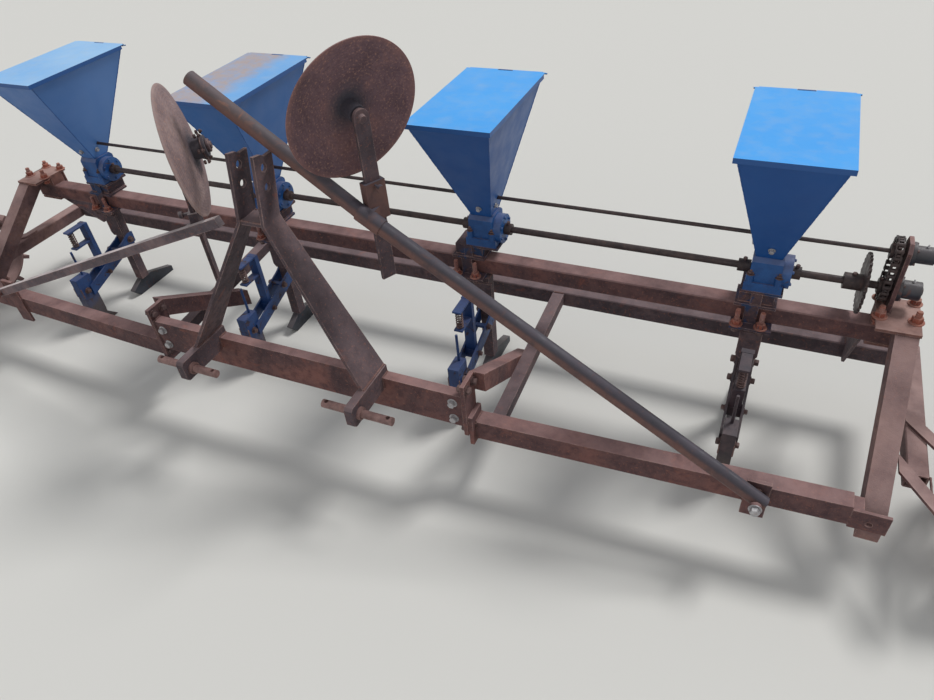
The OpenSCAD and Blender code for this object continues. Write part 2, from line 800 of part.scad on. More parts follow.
// Shafts and sprockets
module sprocket_outline(teeth, pitch, roller, phase) {
    pr = pitch / 2 / sin(180 / teeth);
    seat = roller + 0.5;
    mouth = seat + 0.14 * pitch;
    difference() {
        circle(pr + pitch * 0.3);
        for (i = [0 : teeth - 1])
            rotate(phase + i * 360 / teeth) translate([pr, 0]) {
                circle(seat);
                polygon([[0, -seat], [pitch * 0.35, -mouth], [pitch * 0.35, mouth], [0, seat]]);
            }
    }
}
module meter_shaft() {
    color([0.24, 0.18, 0.18]) at_origin() {
        rod_x(row_x(0) - 75, plate_x + plate_t + bearing_len + 4, meter_shaft_r, 0, meter_axis_z);
        for (i = [0 : row_n - 1]) {
            rod_x(row_x(i) - meter_w / 2 + meter_slim - 31, row_x(i) - meter_w / 2 + meter_slim - 1,
                16, 0, meter_axis_z);
            rod_x(row_x(i) + meter_w / 2 + side_plate_t + 1, row_x(i) + meter_w / 2 + side_plate_t + 21,
                16, 0, meter_axis_z);
        }
        along_x(short_x - short_face, short_x + short_face) translate([0, meter_axis_z])
            sprocket_outline(short_teeth, short_pitch, short_roller, 0);
        rod_x(short_x - 14, short_x - 3, 18, 0, meter_axis_z);
        along_x(big_x - 3, big_x + 3) translate([0, meter_axis_z])
            difference() {
                circle(big_sprocket_r);
                for (i = [0 : 27]) rotate(i * 360 / 28) translate([big_sprocket_r - 2, 0]) circle(5, $fn = 24);
            }
        rod_x(big_x - 43, big_x - 3, 20, 0, meter_axis_z);
    }
}

module agitator_shaft() {
    finger = 28;
    color([0.24, 0.18, 0.18]) at_origin() {
        rod_x(row_x(0) - 38, drive_x + 14, agitator_r, 0, agitator_z);
        for (i = [0 : row_n - 1]) rod_z(agitator_z - finger, agitator_z + finger, 2.5, row_x(i) + 6, 0);
        along_x(short_x - short_face, short_x + short_face) translate([0, agitator_z])
            sprocket_outline(short_teeth, short_pitch, short_roller, 0);
        rod_x(short_x - 14, short_x - 3, 16, 0, agitator_z);
        along_x(drive_x - drive_face, drive_x + drive_face) translate([0, agitator_z])
            sprocket_outline(drive_teeth, drive_pitch, drive_roller, drive_angle + 90);
        rod_x(drive_x + 3.5, drive_x + 14, 16, 0, agitator_z);
    }
}

// Upright plate on the end clamp with a flanged bearing for each shaft
module carrier_plate() {
    base = end_plate_z + end_plate_t;
    color([0.4, 0.24, 0.2]) at_origin()
        difference() {
            along_x(plate_x, plate_x + plate_t)
                polygon([
                    [-32, base], [32, base], [32, agitator_z + 14], [18, agitator_z + 34],
                    [-18, agitator_z + 34], [-32, agitator_z + 14]
                ]);
            rod_x(plate_x - 5, plate_x + plate_t + 5, meter_shaft_r + wall_gap, 0, meter_axis_z);
            rod_x(plate_x - 5, plate_x + plate_t + 5, agitator_r + wall_gap, 0, agitator_z);
        }
}

module bearings() {
    x0 = plate_x + plate_t;
    color([0.3, 0.2, 0.2]) at_origin() {
        difference() {
            union() {
                rod_x(x0, x0 + 9, 30, 0, meter_axis_z);
                rod_x(x0 + 9, x0 + bearing_len, 22, 0, meter_axis_z);
            }
            rod_x(x0 - 5, x0 + bearing_len + 5, meter_shaft_r + run_gap, 0, meter_axis_z);
        }
        difference() {
            union() {
                rod_x(x0, x0 + 9, 27, 0, agitator_z);
                rod_x(x0 + 9, x0 + bearing_len, 20, 0, agitator_z);
            }
            rod_x(x0 - 5, x0 + bearing_len + 5, agitator_r + run_gap, 0, agitator_z);
        }
    }
}

// Chain loop round two equal sprockets: run links on each side, half the teeth round each end
function loop_point(k, run, teeth, pitch, r) =
    let (half = teeth / 2, n = 2 * (run + half), j = (k + n) % n)
    j < run ? [j * pitch, r]
    : j < run + half ? [run * pitch + r * sin((j - run) * 360 / teeth), r * cos((j - run) * 360 / teeth)]
    : j < 2 * run + half ? [(2 * run + half - j) * pitch, -r]
    : [-r * sin((j - 2 * run - half) * 360 / teeth), -r * cos((j - 2 * run - half) * 360 / teeth)];
function scaled_from(p, q, d) = let (v = p - q, l = norm(v)) q + v * ((l + d) / l);
// Plate edge at distance d from the chain's line, narrower halfway between the rollers
function loop_edge(k, run, teeth, pitch, r, d) =
    let (p = loop_point(k, run, teeth, pitch, r), c = [min(max(p[0], 0), run * pitch), 0])
    scaled_from(p, c, d);
// Rollers are drawn where they run clear of the teeth, so that the sprockets turn between the side plates
function runs_clear(p, run, pitch, reach) = min(norm(p), norm(p - [run * pitch, 0])) > reach;
module chain_loop(run, teeth, pitch, roller, width, plate) {
    r = pitch / 2 / sin(180 / teeth);
    n = 2 * run + teeth;
    edge = pitch * 0.3;
    for (s = [-1, 1])
        translate([0, 0, s > 0 ? width / 2 : -width / 2 - plate])
            linear_extrude(plate)
                polygon(
                    points = concat(
                        [for (k = [0 : n - 1]) loop_edge(k, run, teeth, pitch, r, edge)],
                        [for (k = [0 : n - 1]) loop_edge(k, run, teeth, pitch, r, -edge)]
                    ),
                    paths = [[for (k = [0 : n - 1]) k], [for (k = [0 : n - 1]) n + k]]
                );
    for (k = [0 : n - 1])
        if (runs_clear(loop_point(k, run, teeth, pitch, r), run, pitch, r + edge + roller + 0.5))
            translate(concat(loop_point(k, run, teeth, pitch, r), [-width / 2]))
                cylinder(h = width, r = roller, $fn = 8);
}
module chain_short() {
    color([0.3, 0.22, 0.2]) at_origin()
        translate([short_x, 0, meter_axis_z]) rotate([90, 0, 90]) rotate(90)
            chain_loop(short_run, short_teeth, short_pitch, short_roller, short_width, 1.8);
}
module chain_drive() {
    color([0.3, 0.22, 0.2]) at_origin()
        translate([drive_x, axle_y, axle_z]) rotate([90, 0, 90]) rotate(drive_angle)
            chain_loop(drive_run, drive_teeth, drive_pitch, drive_roller, drive_width, 2);
}

// Stays and axle bars that carry the ground wheels outside the side beams
module wheel_carriers() {
    bar_t = 8;
    stay_z = rail_top;
    reach = carrier_x - side_x;
    color([0.42, 0.28, 0.25]) at_origin() both_sides() {
        along_z(stay_z, stay_z + bar_t)
            polygon([
                [side_x, -110], [carrier_x, -110 - reach * 1.27],
                [carrier_x, -158 - reach * 1.27], [side_x, -158]
            ]);
        along_z(stay_z, stay_z + bar_t)
            polygon([
                [side_x - 18, -273], [carrier_x, -273 - (reach + 18) * 1.52],
                [carrier_x, -327 - (reach + 18) * 1.52], [side_x - 18, -327]
            ]);
        along_x(carrier_x, carrier_x + carrier_t)
            polygon([
                [-505, stay_z - 30], [-505, stay_z + bar_t], [-225, stay_z + bar_t], [-225, axle_z - 12],
                [axle_y + 20, axle_z - 32], [axle_y - 20, axle_z - 32], [axle_y - 44, stay_z - 30]
            ]);
        rod_x(carrier_x + carrier_t, axle_end, axle_r, axle_y, axle_z);
        rod_x(carrier_x + carrier_t, hub_x0 - 1, axle_r + 9, axle_y, axle_z);
        rod_x(hub_x1 + 1, hub_x1 + 7, axle_r + 9, axle_y, axle_z);
    }
}

// Steel wheels with cross lugs and round spokes
module ground_wheel() {
    rim_r = wheel_r - lug_h;
    rim_t = 6;
    lug_n = 12;
    lug_t = 14;
    spoke_n = 8;
    difference() {
        union() {
            difference() {
                rod_x(wheel_x - wheel_w / 2, wheel_x + wheel_w / 2, rim_r, 0, 0);
                rod_x(wheel_x - wheel_w, wheel_x + wheel_w, rim_r - rim_t, 0, 0);
            }
            along_x(wheel_x - wheel_w / 2, wheel_x + wheel_w / 2)
                for (i = [0 : lug_n - 1])
                    rotate(i * 360 / lug_n) translate([-lug_t / 2, rim_r - 2]) square([lug_t, lug_h + 2]);
            for (i = [0 : spoke_n - 1])
                translate([wheel_x, 0, 0]) rotate([22.5 + i * 360 / spoke_n, 0, 0])
                    rod_z(hub_r - 4, rim_r - rim_t + 2, 7, 0, 0);
            rod_x(hub_x0, hub_x1, hub_r, 0, 0);
        }
        rod_x(hub_x0 - 5, hub_x1 + 5, axle_r + run_gap, 0, 0);
    }
}
module wheel_left() {
    color([0.35, 0.25, 0.22]) at_origin() translate([0, axle_y, axle_z]) mirror([1, 0, 0]) ground_wheel();
}
module wheel_right() {
    color([0.35, 0.25, 0.22]) at_origin() translate([0, axle_y, axle_z])
        difference() {
            union() {
                ground_wheel();
                along_x(drive_x - drive_face, drive_x + drive_face)
                    sprocket_outline(drive_teeth, drive_pitch, drive_roller, drive_angle + 90);
            }
            rod_x(hub_x0 - 5, hub_x1 + 5, axle_r + run_gap, 0, 0);
        }
}

// Flat legs with a rising stub axle at the top, each held in a socket on its marker arm
module leg_place(d) {
    translate([d[0], d[1], 0]) rotate([0, 0, d[3]]) children();
}
module axle_place(d) {
    leg_place(d) translate([0, 0, d[2]]) rotate([d[4], 0, 0]) children();
}
module leg_slot(d) {
    leg_place(d)
        along_z(0, d[2] + disc_r)
            translate([-leg_w / 2 - run_gap, -leg_t / 2 - run_gap])
                square([leg_w + 2 * run_gap, leg_t + 2 * run_gap]);
}
module leg_socket(d, z0, z1) {
    wall = 7;
    side = -leg_t / 2 - wall;
    leg_place(d) {
        along_z(z0, z1)
            translate([-leg_w / 2 - wall, side]) square([leg_w + 2 * wall, leg_t + 2 * wall]);
        rod_y(side - 16, side + 1, 4, 0, z1 - 9);
        rod_y(side - 26, side - 16, 9, 0, z1 - 9);
    }
}
module disc_leg(i) {
    d = discs[i];
    foot = d[2] - d[5];
    end = disc_gap + disc_front;
    color([0.36, 0.24, 0.23]) at_origin() {
        leg_place(d)
            along_y(-leg_t / 2, leg_t / 2) {
                translate([-leg_w / 2, foot]) square([leg_w, d[2] - foot]);
                translate([0, d[2]]) circle(leg_w / 2);
            }
        axle_place(d) {
            rod_y(-leg_t / 2 - 6, end + 12, disc_axle_r, 0, 0);
            rod_y(end + 1, end + 8, disc_axle_r + 7, 0, 0);
        }
    }
}
// Dished disc with a hub on both sides, turned round its axle
module disc_rotor(d) {
    steps = 6;
    bore = disc_axle_r + run_gap;
    radii = [for (k = [0 : steps]) disc_flat + k * (disc_r - disc_flat) / steps];
    at_origin() axle_place(d) translate([0, disc_gap, 0]) rotate([-90, 0, 0]) rotate_extrude()
        polygon(concat(
            [[bore, -disc_back], [disc_back_r, -disc_back], [disc_back_r, disc_dish - disc_t / 2]],
            [for (k = [0 : steps]) [radii[k], dish(radii[k]) - disc_t / 2]],
            [for (k = [0 : steps]) [radii[steps - k], dish(radii[steps - k]) + disc_t / 2]],
            [[disc_hub_r, disc_dish + disc_t / 2], [disc_hub_r, disc_front], [bore, disc_front]]
        ));
}
module disc_1() {
    color([0.35, 0.24, 0.25]) disc_rotor(discs[0]);
}
module disc_2() {
    color([0.5, 0.38, 0.34]) disc_rotor(discs[1]);
}

// Plates on the wings' fronts with the pins on which the markers swing
module marker_brackets() {
    half = 26;
    low = wing_low - 35;
    color([0.4, 0.24, 0.2]) at_origin()
        for (s = [0, 1]) {
            pivot_z = s == 0 ? pole_pivot_z : mbar_pivot_z;
            mirror([s, 0, 0]) {
                along_z(low, pivot_z + half)
                    polygon([
                        [marker_x - half, marker_plane], [marker_x + half, marker_plane],
                        [marker_x + half, wing_front(marker_x + half)],
                        [marker_x - half, wing_front(marker_x - half)]
                    ]);
                rod_y(marker_y - 31, marker_plane, marker_pin_r, marker_x, pivot_z);
                rod_y(marker_y - 31, marker_y - 21, marker_pin_r + 5, marker_x, pivot_z);
            }
        }
}

// Round pole, open at its upper end, with a sleeve at its slight bend and the socket of the first disc leg
module pole_lower() {
    translate(pole_pivot) rotate([0, pole_tilt, 0]) rotate([0, 0, -pole_drift]) children();
}
module pole_upper() {
    translate(pole_corner) rotate([0, pole_tilt + pole_bend, 0]) rotate([0, 0, -pole_drift]) children();
}
module marker_pole() {
    wall = 3;
    tail = 20;
    inner = pole_r - wall;
    upper = pole_len - pole_kink;
    d = discs[0];
    z = leg_1_at[2];
    web = 24;
    color([0.4, 0.3, 0.28]) at_origin()
        difference() {
            union() {
                pole_lower() rod_x(5 - pole_kink, tail, pole_r, 0, 0);
                pole_lower() rod_x(-pole_kink - 32, 32 - pole_kink, pole_r + 3, 0, 0);
                pole_upper() rod_x(-upper, -5, pole_r, 0, 0);
                leg_socket(d, z - 17, z + 76);
                along_z(z - 17, z + 17)
                    translate([leg_1_at[0] - web / 2, leg_1_at[1]]) square([web, d[1] - leg_1_at[1]]);
            }
            pole_upper() rod_x(-upper - 5, -40, inner, 0, 0);
            leg_slot(d);
            rod_y(marker_y - 40, marker_y + 40, marker_pin_r + run_gap * 2, marker_x, pole_pivot_z);
        }
}

// Flat marker bar with the socket of the second disc leg behind it
module marker_bar() {
    tail = 30;
    d = discs[1];
    z = leg_2_at[2];
    web = 24;
    rear = marker_y + mbar_d / 2;
    color([0.5, 0.36, 0.34]) at_origin()
        difference() {
            union() {
                translate([-marker_x, marker_y, mbar_pivot_z]) rotate([0, -mbar_tilt, 0])
                    translate([-tail, -mbar_d / 2, -mbar_h / 2]) cube([mbar_len + tail, mbar_d, mbar_h]);
                leg_socket(d, z - 20, z + 40);
                along_z(z - 8, z + 8)
                    translate([d[0] - web / 2, rear - 1]) square([web, d[1] - rear + 1]);
            }
            leg_slot(d);
            rod_y(marker_y - 40, marker_y + 40, marker_pin_r + run_gap * 2, -marker_x, mbar_pivot_z);
        }
}

toolbar();
front_beam();
wings();
end_beams();
end_clamps();
end_brackets();
lower_rail();
side_beams();
struts();
braces();
joint_plates();
end_hangers();
mast();
hitch_arms();
link_pins();
hopper(0);  // hopper_1
hopper(1);  // hopper_2
hopper(2);  // hopper_3
hopper(3);  // hopper_4
lid(0);  // lid_1
lid(1);  // lid_2
lid(2);  // lid_3
lid(3);  // lid_4
meters();
meter_bases();
unit_legs();
opener_arms();
boots();
springs();
shoes();
meter_shaft();
agitator_shaft();
carrier_plate();
bearings();
chain_short();
chain_drive();
wheel_carriers();
wheel_left();
wheel_right();
disc_leg(0);  // disc_leg_1
disc_leg(1);  // disc_leg_2
disc_1();
disc_2();
marker_brackets();
marker_pole();
marker_bar();
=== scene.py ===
"""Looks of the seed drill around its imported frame: finishes, fasteners, welds, chains, light and camera."""
import json
import math

import bpy
from mathutils import Matrix, Vector

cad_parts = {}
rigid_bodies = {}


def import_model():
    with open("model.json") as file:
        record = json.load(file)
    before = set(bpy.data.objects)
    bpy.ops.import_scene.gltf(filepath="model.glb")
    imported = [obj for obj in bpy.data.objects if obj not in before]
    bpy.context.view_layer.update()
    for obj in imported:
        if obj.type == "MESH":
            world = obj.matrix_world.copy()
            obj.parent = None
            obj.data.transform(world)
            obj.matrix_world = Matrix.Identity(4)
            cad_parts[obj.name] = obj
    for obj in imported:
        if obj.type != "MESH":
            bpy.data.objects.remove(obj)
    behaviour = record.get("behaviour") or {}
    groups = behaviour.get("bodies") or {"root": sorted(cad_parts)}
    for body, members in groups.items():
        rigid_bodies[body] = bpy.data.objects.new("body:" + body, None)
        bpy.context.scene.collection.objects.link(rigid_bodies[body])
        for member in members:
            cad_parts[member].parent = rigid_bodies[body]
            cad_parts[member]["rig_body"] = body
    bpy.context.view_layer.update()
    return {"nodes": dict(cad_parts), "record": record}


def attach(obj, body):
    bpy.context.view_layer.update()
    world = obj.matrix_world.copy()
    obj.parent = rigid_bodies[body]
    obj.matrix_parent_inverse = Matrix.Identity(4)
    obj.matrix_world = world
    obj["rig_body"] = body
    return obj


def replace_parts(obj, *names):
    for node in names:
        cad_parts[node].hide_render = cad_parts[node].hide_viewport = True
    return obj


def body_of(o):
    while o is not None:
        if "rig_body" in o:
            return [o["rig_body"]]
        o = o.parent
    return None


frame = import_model()
nodes = frame["nodes"]
record = frame["record"]
scene = bpy.context.scene

MM = 0.001


# Colours and node helpers
def srgb(r, g, b):
    """A colour written as 0 to 255 display values, in Blender's linear values."""
    def lin(c):
        c /= 255
        return c / 12.92 if c <= 0.04045 else ((c + 0.055) / 1.055) ** 2.4
    return (lin(r), lin(g), lin(b), 1)


class Finish:
    """A node material on object coordinates, which are the row frame's metres on every CAD node."""

    def __init__(self, name, roughness=0.8, metallic=0.0):
        self.mat = bpy.data.materials.new(name)
        self.mat.use_nodes = True
        self.tree = self.mat.node_tree
        self.tree.nodes.clear()
        self.out = self.add("ShaderNodeOutputMaterial")
        self.bsdf = self.add("ShaderNodeBsdfPrincipled")
        self.link(self.bsdf.outputs[0], self.out.inputs[0])
        self.bsdf.inputs["Roughness"].default_value = roughness
        self.bsdf.inputs["Metallic"].default_value = metallic
        self.coords = self.add("ShaderNodeTexCoord").outputs["Object"]

    def add(self, kind, **values):
        node = self.tree.nodes.new(kind)
        for key, value in values.items():
            setattr(node, key, value)
        return node

    def link(self, a, b):
        self.tree.links.new(a, b)

    def put(self, socket, value):
        if isinstance(value, (int, float, tuple)):
            socket.default_value = value
        else:
            self.link(value, socket)

    def stretched(self, scale):
        node = self.add("ShaderNodeMapping")
        self.link(self.coords, node.inputs[0])
        node.inputs["Scale"].default_value = scale
        return node.outputs[0]

    def noise(self, scale, detail=4, rough=0.55, distortion=0.0, stretch=None):
        node = self.add("ShaderNodeTexNoise")
        self.link(self.stretched(stretch) if stretch else self.coords, node.inputs["Vector"])
        node.inputs["Scale"].default_value = scale
        node.inputs["Detail"].default_value = detail
        node.inputs["Roughness"].default_value = rough
        node.inputs["Distortion"].default_value = distortion
        return node.outputs["Fac"]

    def cells(self, scale):
        node = self.add("ShaderNodeTexVoronoi")
        self.link(self.coords, node.inputs["Vector"])
        node.inputs["Scale"].default_value = scale
        return node.outputs["Distance"]

    def ramp(self, fac, *stops):
        node = self.add("ShaderNodeValToRGB")
        self.link(fac, node.inputs[0])
        band = node.color_ramp
        while len(band.elements) < len(stops):
            band.elements.new(1.0)
        for element, (place, value) in zip(band.elements, stops):
            element.position = place
            element.color = value if isinstance(value, tuple) else (value, value, value, 1)
        return node.outputs[0]

    def mix(self, fac, a, b):
        node = self.add("ShaderNodeMix", data_type="RGBA")
        self.put(node.inputs["Factor"], fac)
        for key, value in (("A", a), ("B", b)):
            socket = [s for s in node.inputs if s.name == key and s.type == "RGBA"][0]
            self.put(socket, value)
        return [s for s in node.outputs if s.type == "RGBA"][0]

    def math(self, kind, a, b=0.0):
        node = self.add("ShaderNodeMath", operation=kind)
        self.put(node.inputs[0], a)
        self.put(node.inputs[1], b)
        return node.outputs[0]

    def axis(self, name):
        node = self.add("ShaderNodeSeparateXYZ")
        self.link(self.coords, node.inputs[0])
        return node.outputs[name]

    def upward(self):
        """1 where the surface looks up at rest, 0 where it doesn't; it stays with the piece as it moves."""
        node = self.add("ShaderNodeSeparateXYZ")
        self.link(self.add("ShaderNodeTexCoord").outputs["Normal"], node.inputs[0])
        return self.math("MAXIMUM", node.outputs["Z"], 0.0)

    def edges(self, reach):
        """1 along outer edges, up to so many metres from them, and 0 on flat faces."""
        rounded = self.add("ShaderNodeBevel", samples=4)
        rounded.inputs["Radius"].default_value = reach
        turn = self.add("ShaderNodeVectorMath", operation="DOT_PRODUCT")
        self.link(rounded.outputs[0], turn.inputs[0])
        self.link(self.add("ShaderNodeNewGeometry").outputs["Normal"], turn.inputs[1])
        return self.ramp(turn.outputs["Value"], (0.8, 1.0), (0.97, 0.0))

    def bump(self, *layers):
        """Layers are (height, distance in metres), the coarsest first."""
        normal = None
        for height, distance in layers:
            node = self.add("ShaderNodeBump")
            node.inputs["Distance"].default_value = distance
            node.inputs["Strength"].default_value = 0.8
            self.put(node.inputs["Height"], height)
            if normal:
                self.link(normal, node.inputs["Normal"])
            normal = node.outputs[0]
        self.link(normal, self.bsdf.inputs["Normal"])

    def done(self, colour, roughness=None):
        self.link(colour, self.bsdf.inputs["Base Color"])
        if roughness is not None:
            self.link(roughness, self.bsdf.inputs["Roughness"])
        return self.mat


# Tones that the finishes lay over their base colours
RUST_PATCH, RUST_SPECK, WORN_EDGE = srgb(138, 76, 58), srgb(146, 92, 74), srgb(196, 164, 154)
CHIP, GREY_DUST, RUSTY_RUN = srgb(62, 50, 56), srgb(196, 196, 196), srgb(172, 156, 156)
CAST_RUST, CAST_DUST = srgb(84, 58, 56), srgb(150, 136, 134)
OPENER_DUST, SOIL = srgb(150, 140, 140), srgb(86, 74, 70)
POLE_FLANK, POLE_DUST = srgb(112, 78, 70), srgb(112, 104, 116)
DISC_SPECK, HUB_OIL = srgb(176, 132, 112), srgb(56, 56, 66)
# The lids' side colour: painted shade on the faces of a lid that don't look up.
LID_SIDE_SHADE = (14, 76, 140)
# The worn edges' width and the discs' worn rim, in metres; the turned rings, in radians a metre
EDGE_REACH, RIM_FROM, RIM_TO, RING_WAVES = 0.004, 0.150, 0.163, 900.0


# Finishes
def rust(name, dark, mid, light, top, share, paint=None):
    """Weathered steel: patches, mottling, a grainy crust, dust and a painted highlight on top faces, worn
    edges and leftovers of paint.
    """
    f = Finish(name)
    dark, mid, light = srgb(*dark), srgb(*mid), srgb(*light)
    patches = f.noise(6, 5, 0.6, 0.6)
    mottle = f.noise(46, 6, 0.62, 0.3)
    grain = f.noise(420, 3, 0.6)
    colour = f.ramp(patches, (0.32, dark), (0.5, mid), (0.7, light))
    colour = f.mix(f.ramp(mottle, (0.46, 0.0), (0.72, 0.7)), colour, dark)
    colour = f.mix(f.ramp(grain, (0.5, 0.0), (0.74, 0.4)), colour, light)
    colour = f.mix(f.ramp(f.noise(17, 6, 0.66, 0.8), (0.6, 0.0), (0.7, 0.5)), colour, RUST_PATCH)
    specks = f.ramp(f.noise(150, 5, 0.7), (0.58, 0.0), (0.66, 0.6))
    colour = f.mix(specks, colour, RUST_SPECK)
    if paint:
        left = f.ramp(f.noise(16, 7, 0.68, 0.8), (0.52, 0.0), (0.56, 1.0))
        colour = f.mix(left, colour, srgb(*paint))
    # Top faces are mixed towards the top colour: dust together with a painted highlight of light falling on
    # them.
    dust = f.math("MULTIPLY", f.ramp(f.upward(), (0.25, 0.0), (0.9, 1.0)),
                  f.ramp(f.noise(9, 6, 0.6), (0.34, share * 0.35), (0.6, share)))
    colour = f.mix(dust, colour, srgb(*top))
    worn = f.math("MULTIPLY", f.edges(EDGE_REACH), f.ramp(f.noise(26, 6, 0.7), (0.4, 0.05), (0.62, 0.75)))
    colour = f.mix(worn, colour, WORN_EDGE)
    pits = f.ramp(f.cells(230), (0.0, 0.0), (0.35, 1.0))
    f.bump((mottle, 0.0012), (pits, 0.0004), (grain, 0.0004))
    return f.done(colour, f.ramp(mottle, (0.3, 0.7), (0.7, 0.92)))


def blue_sheet(name, base, faded, gloss, chip, streak_x=None, side=None):
    """Brushed on blue paint over sheet steel: soft fading, dust, chips, a few rusty runs and, where a side
    colour is given, painted shade on the faces that don't look up.
    """
    f = Finish(name, gloss)
    base, faded = srgb(*base), srgb(*faded)
    colour = f.ramp(f.noise(2.2, 3, 0.5, 0.4), (0.3, base), (0.7, faded))
    brush = f.noise(30, 3, 0.5, 0.0, (1, 0.08, 1))
    colour = f.mix(f.ramp(brush, (0.45, 0.0), (0.8, 0.16)), colour, faded)
    chips = f.ramp(f.noise(90, 5, 0.72, 0.5), (chip - 0.02, 0.0), (chip, 1.0))
    colour = f.mix(chips, colour, CHIP)
    dust = f.math("MULTIPLY", f.upward(), f.ramp(f.noise(24, 6, 0.6), (0.45, 0.0), (0.85, 0.22)))
    colour = f.mix(dust, colour, GREY_DUST)
    rough = f.ramp(f.noise(18, 5), (0.3, gloss * 0.85), (0.7, min(1.0, gloss * 1.3)))
    if streak_x is not None:
        near = f.math("ABSOLUTE", f.math("SUBTRACT", f.axis("X"), streak_x))
        wobble = f.math("MULTIPLY", f.noise(7, 6, 0.65, 1.2), 0.11)
        band = f.ramp(f.math("SUBTRACT", near, wobble), (0.0, 1.0), (0.06, 0.0))
        colour = f.mix(f.math("MULTIPLY", band, f.ramp(f.noise(30, 6, 0.7), (0.3, 0.45), (0.6, 1.0))),
                       colour, RUSTY_RUN)
    # Painted shade: the faces that don't look up are darkened towards the side colour.
    if side:
        colour = f.mix(f.ramp(f.upward(), (0.3, 1.0), (0.7, 0.0)), colour, srgb(*side))
    f.bump((f.noise(3.2, 2), 0.004), (chips, -0.0003), (brush, 0.0002))
    return f.done(colour, rough)


def casting(name, base, worn, share):
    """Rough sand casting under paint or bare, with grit, oil and rust in the hollows."""
    f = Finish(name, 0.62)
    colour = f.ramp(f.noise(20, 5, 0.6), (0.35, srgb(*base)), (0.7, srgb(*worn)))
    rusty = f.ramp(f.noise(38, 7, 0.7, 0.6), (0.68 - share * 0.25, 0.0), (0.74 - share * 0.25, 1.0))
    colour = f.mix(rusty, colour, CAST_RUST)
    colour = f.mix(f.math("MULTIPLY", f.upward(), 0.25), colour, CAST_DUST)
    f.bump((f.noise(60, 4), 0.0012), (f.noise(330, 3), 0.0006))
    return f.done(colour, f.ramp(rusty, (0.0, 0.48), (1.0, 0.85)))


def opener_paint(name, soil_top=0.0):
    """Blue paint on the openers: oily, nearly gone on the right hand row, and worn by soil below."""
    f = Finish(name, 0.55)
    paint = f.ramp(f.noise(14, 5, 0.6), (0.35, srgb(12, 44, 94)), (0.7, srgb(26, 68, 124)))
    bare = f.ramp(f.noise(30, 6, 0.65), (0.35, srgb(42, 36, 46)), (0.7, srgb(78, 60, 64)))
    along = f.math("ADD", f.axis("X"), f.math("MULTIPLY", f.noise(9, 6, 0.7), 0.5))
    gone = f.ramp(along, (0.7, 0.0), (1.0, 1.0))
    spots = f.ramp(f.noise(34, 7, 0.7, 0.6), (0.56, 0.0), (0.62, 1.0))
    colour = f.mix(f.math("MAXIMUM", gone, spots), paint, bare)
    colour = f.mix(f.math("MULTIPLY", f.upward(), 0.1), colour, OPENER_DUST)
    if soil_top:
        height = f.math("ADD", f.axis("Z"), f.math("MULTIPLY", f.noise(22, 6, 0.7), 0.08))
        soil = f.ramp(f.math("SUBTRACT", height, soil_top), (0.0, 0.85), (0.06, 0.0))
        colour = f.mix(soil, colour, SOIL)
    f.bump((f.noise(60, 4), 0.001), (spots, -0.0003), (f.noise(330, 3), 0.0004))
    return f.done(colour, f.ramp(spots, (0.0, 0.5), (1.0, 0.85)))


def dark_steel(name, base, worn, metallic, rusty=(96, 64, 56)):
    """Oiled and worn steel of shafts, chains and pins."""
    f = Finish(name, 0.5, metallic)
    colour = f.ramp(f.noise(32, 6, 0.65), (0.35, srgb(*base)), (0.72, srgb(*worn)))
    colour = f.mix(f.ramp(f.noise(140, 4, 0.6), (0.56, 0.0), (0.7, 0.5)), colour, srgb(*rusty))
    f.bump((f.noise(180, 4), 0.0003), (f.noise(700, 2), 0.0002))
    return f.done(colour, f.ramp(f.noise(60, 4), (0.3, 0.38), (0.7, 0.72)))


def pole_finish():
    """The long pole: dark and bluish at the lower end, brown with orange rust towards the upper one."""
    f = Finish("rust_pole")
    run = f.ramp(f.math("ADD", f.axis("X"), 0.5), (0.42, 1.0), (0.72, 0.0))
    mottle = f.noise(34, 6, 0.66, 0.5)
    low = f.ramp(mottle, (0.3, srgb(34, 34, 44)), (0.58, srgb(58, 52, 60)), (0.74, srgb(92, 68, 62)))
    high = f.ramp(mottle, (0.3, srgb(64, 56, 60)), (0.56, srgb(96, 80, 78)), (0.7, srgb(142, 100, 82)))
    colour = f.mix(run, low, high)
    flank = f.math("MULTIPLY", f.ramp(f.upward(), (0.3, 1.0), (0.6, 0.0)),
                   f.ramp(f.noise(24, 6, 0.7), (0.3, 0.3), (0.6, 0.9)))
    colour = f.mix(flank, colour, POLE_FLANK)
    dust = f.math("MULTIPLY", f.ramp(f.upward(), (0.5, 0.0), (0.95, 1.0)),
                  f.ramp(f.noise(9, 5), (0.3, 0.1), (0.6, 0.3)))
    colour = f.mix(dust, colour, POLE_DUST)
    grain = f.noise(380, 3)
    f.bump((mottle, 0.001), (grain, 0.0004))
    return f.done(colour, f.ramp(mottle, (0.3, 0.5), (0.7, 0.85)))


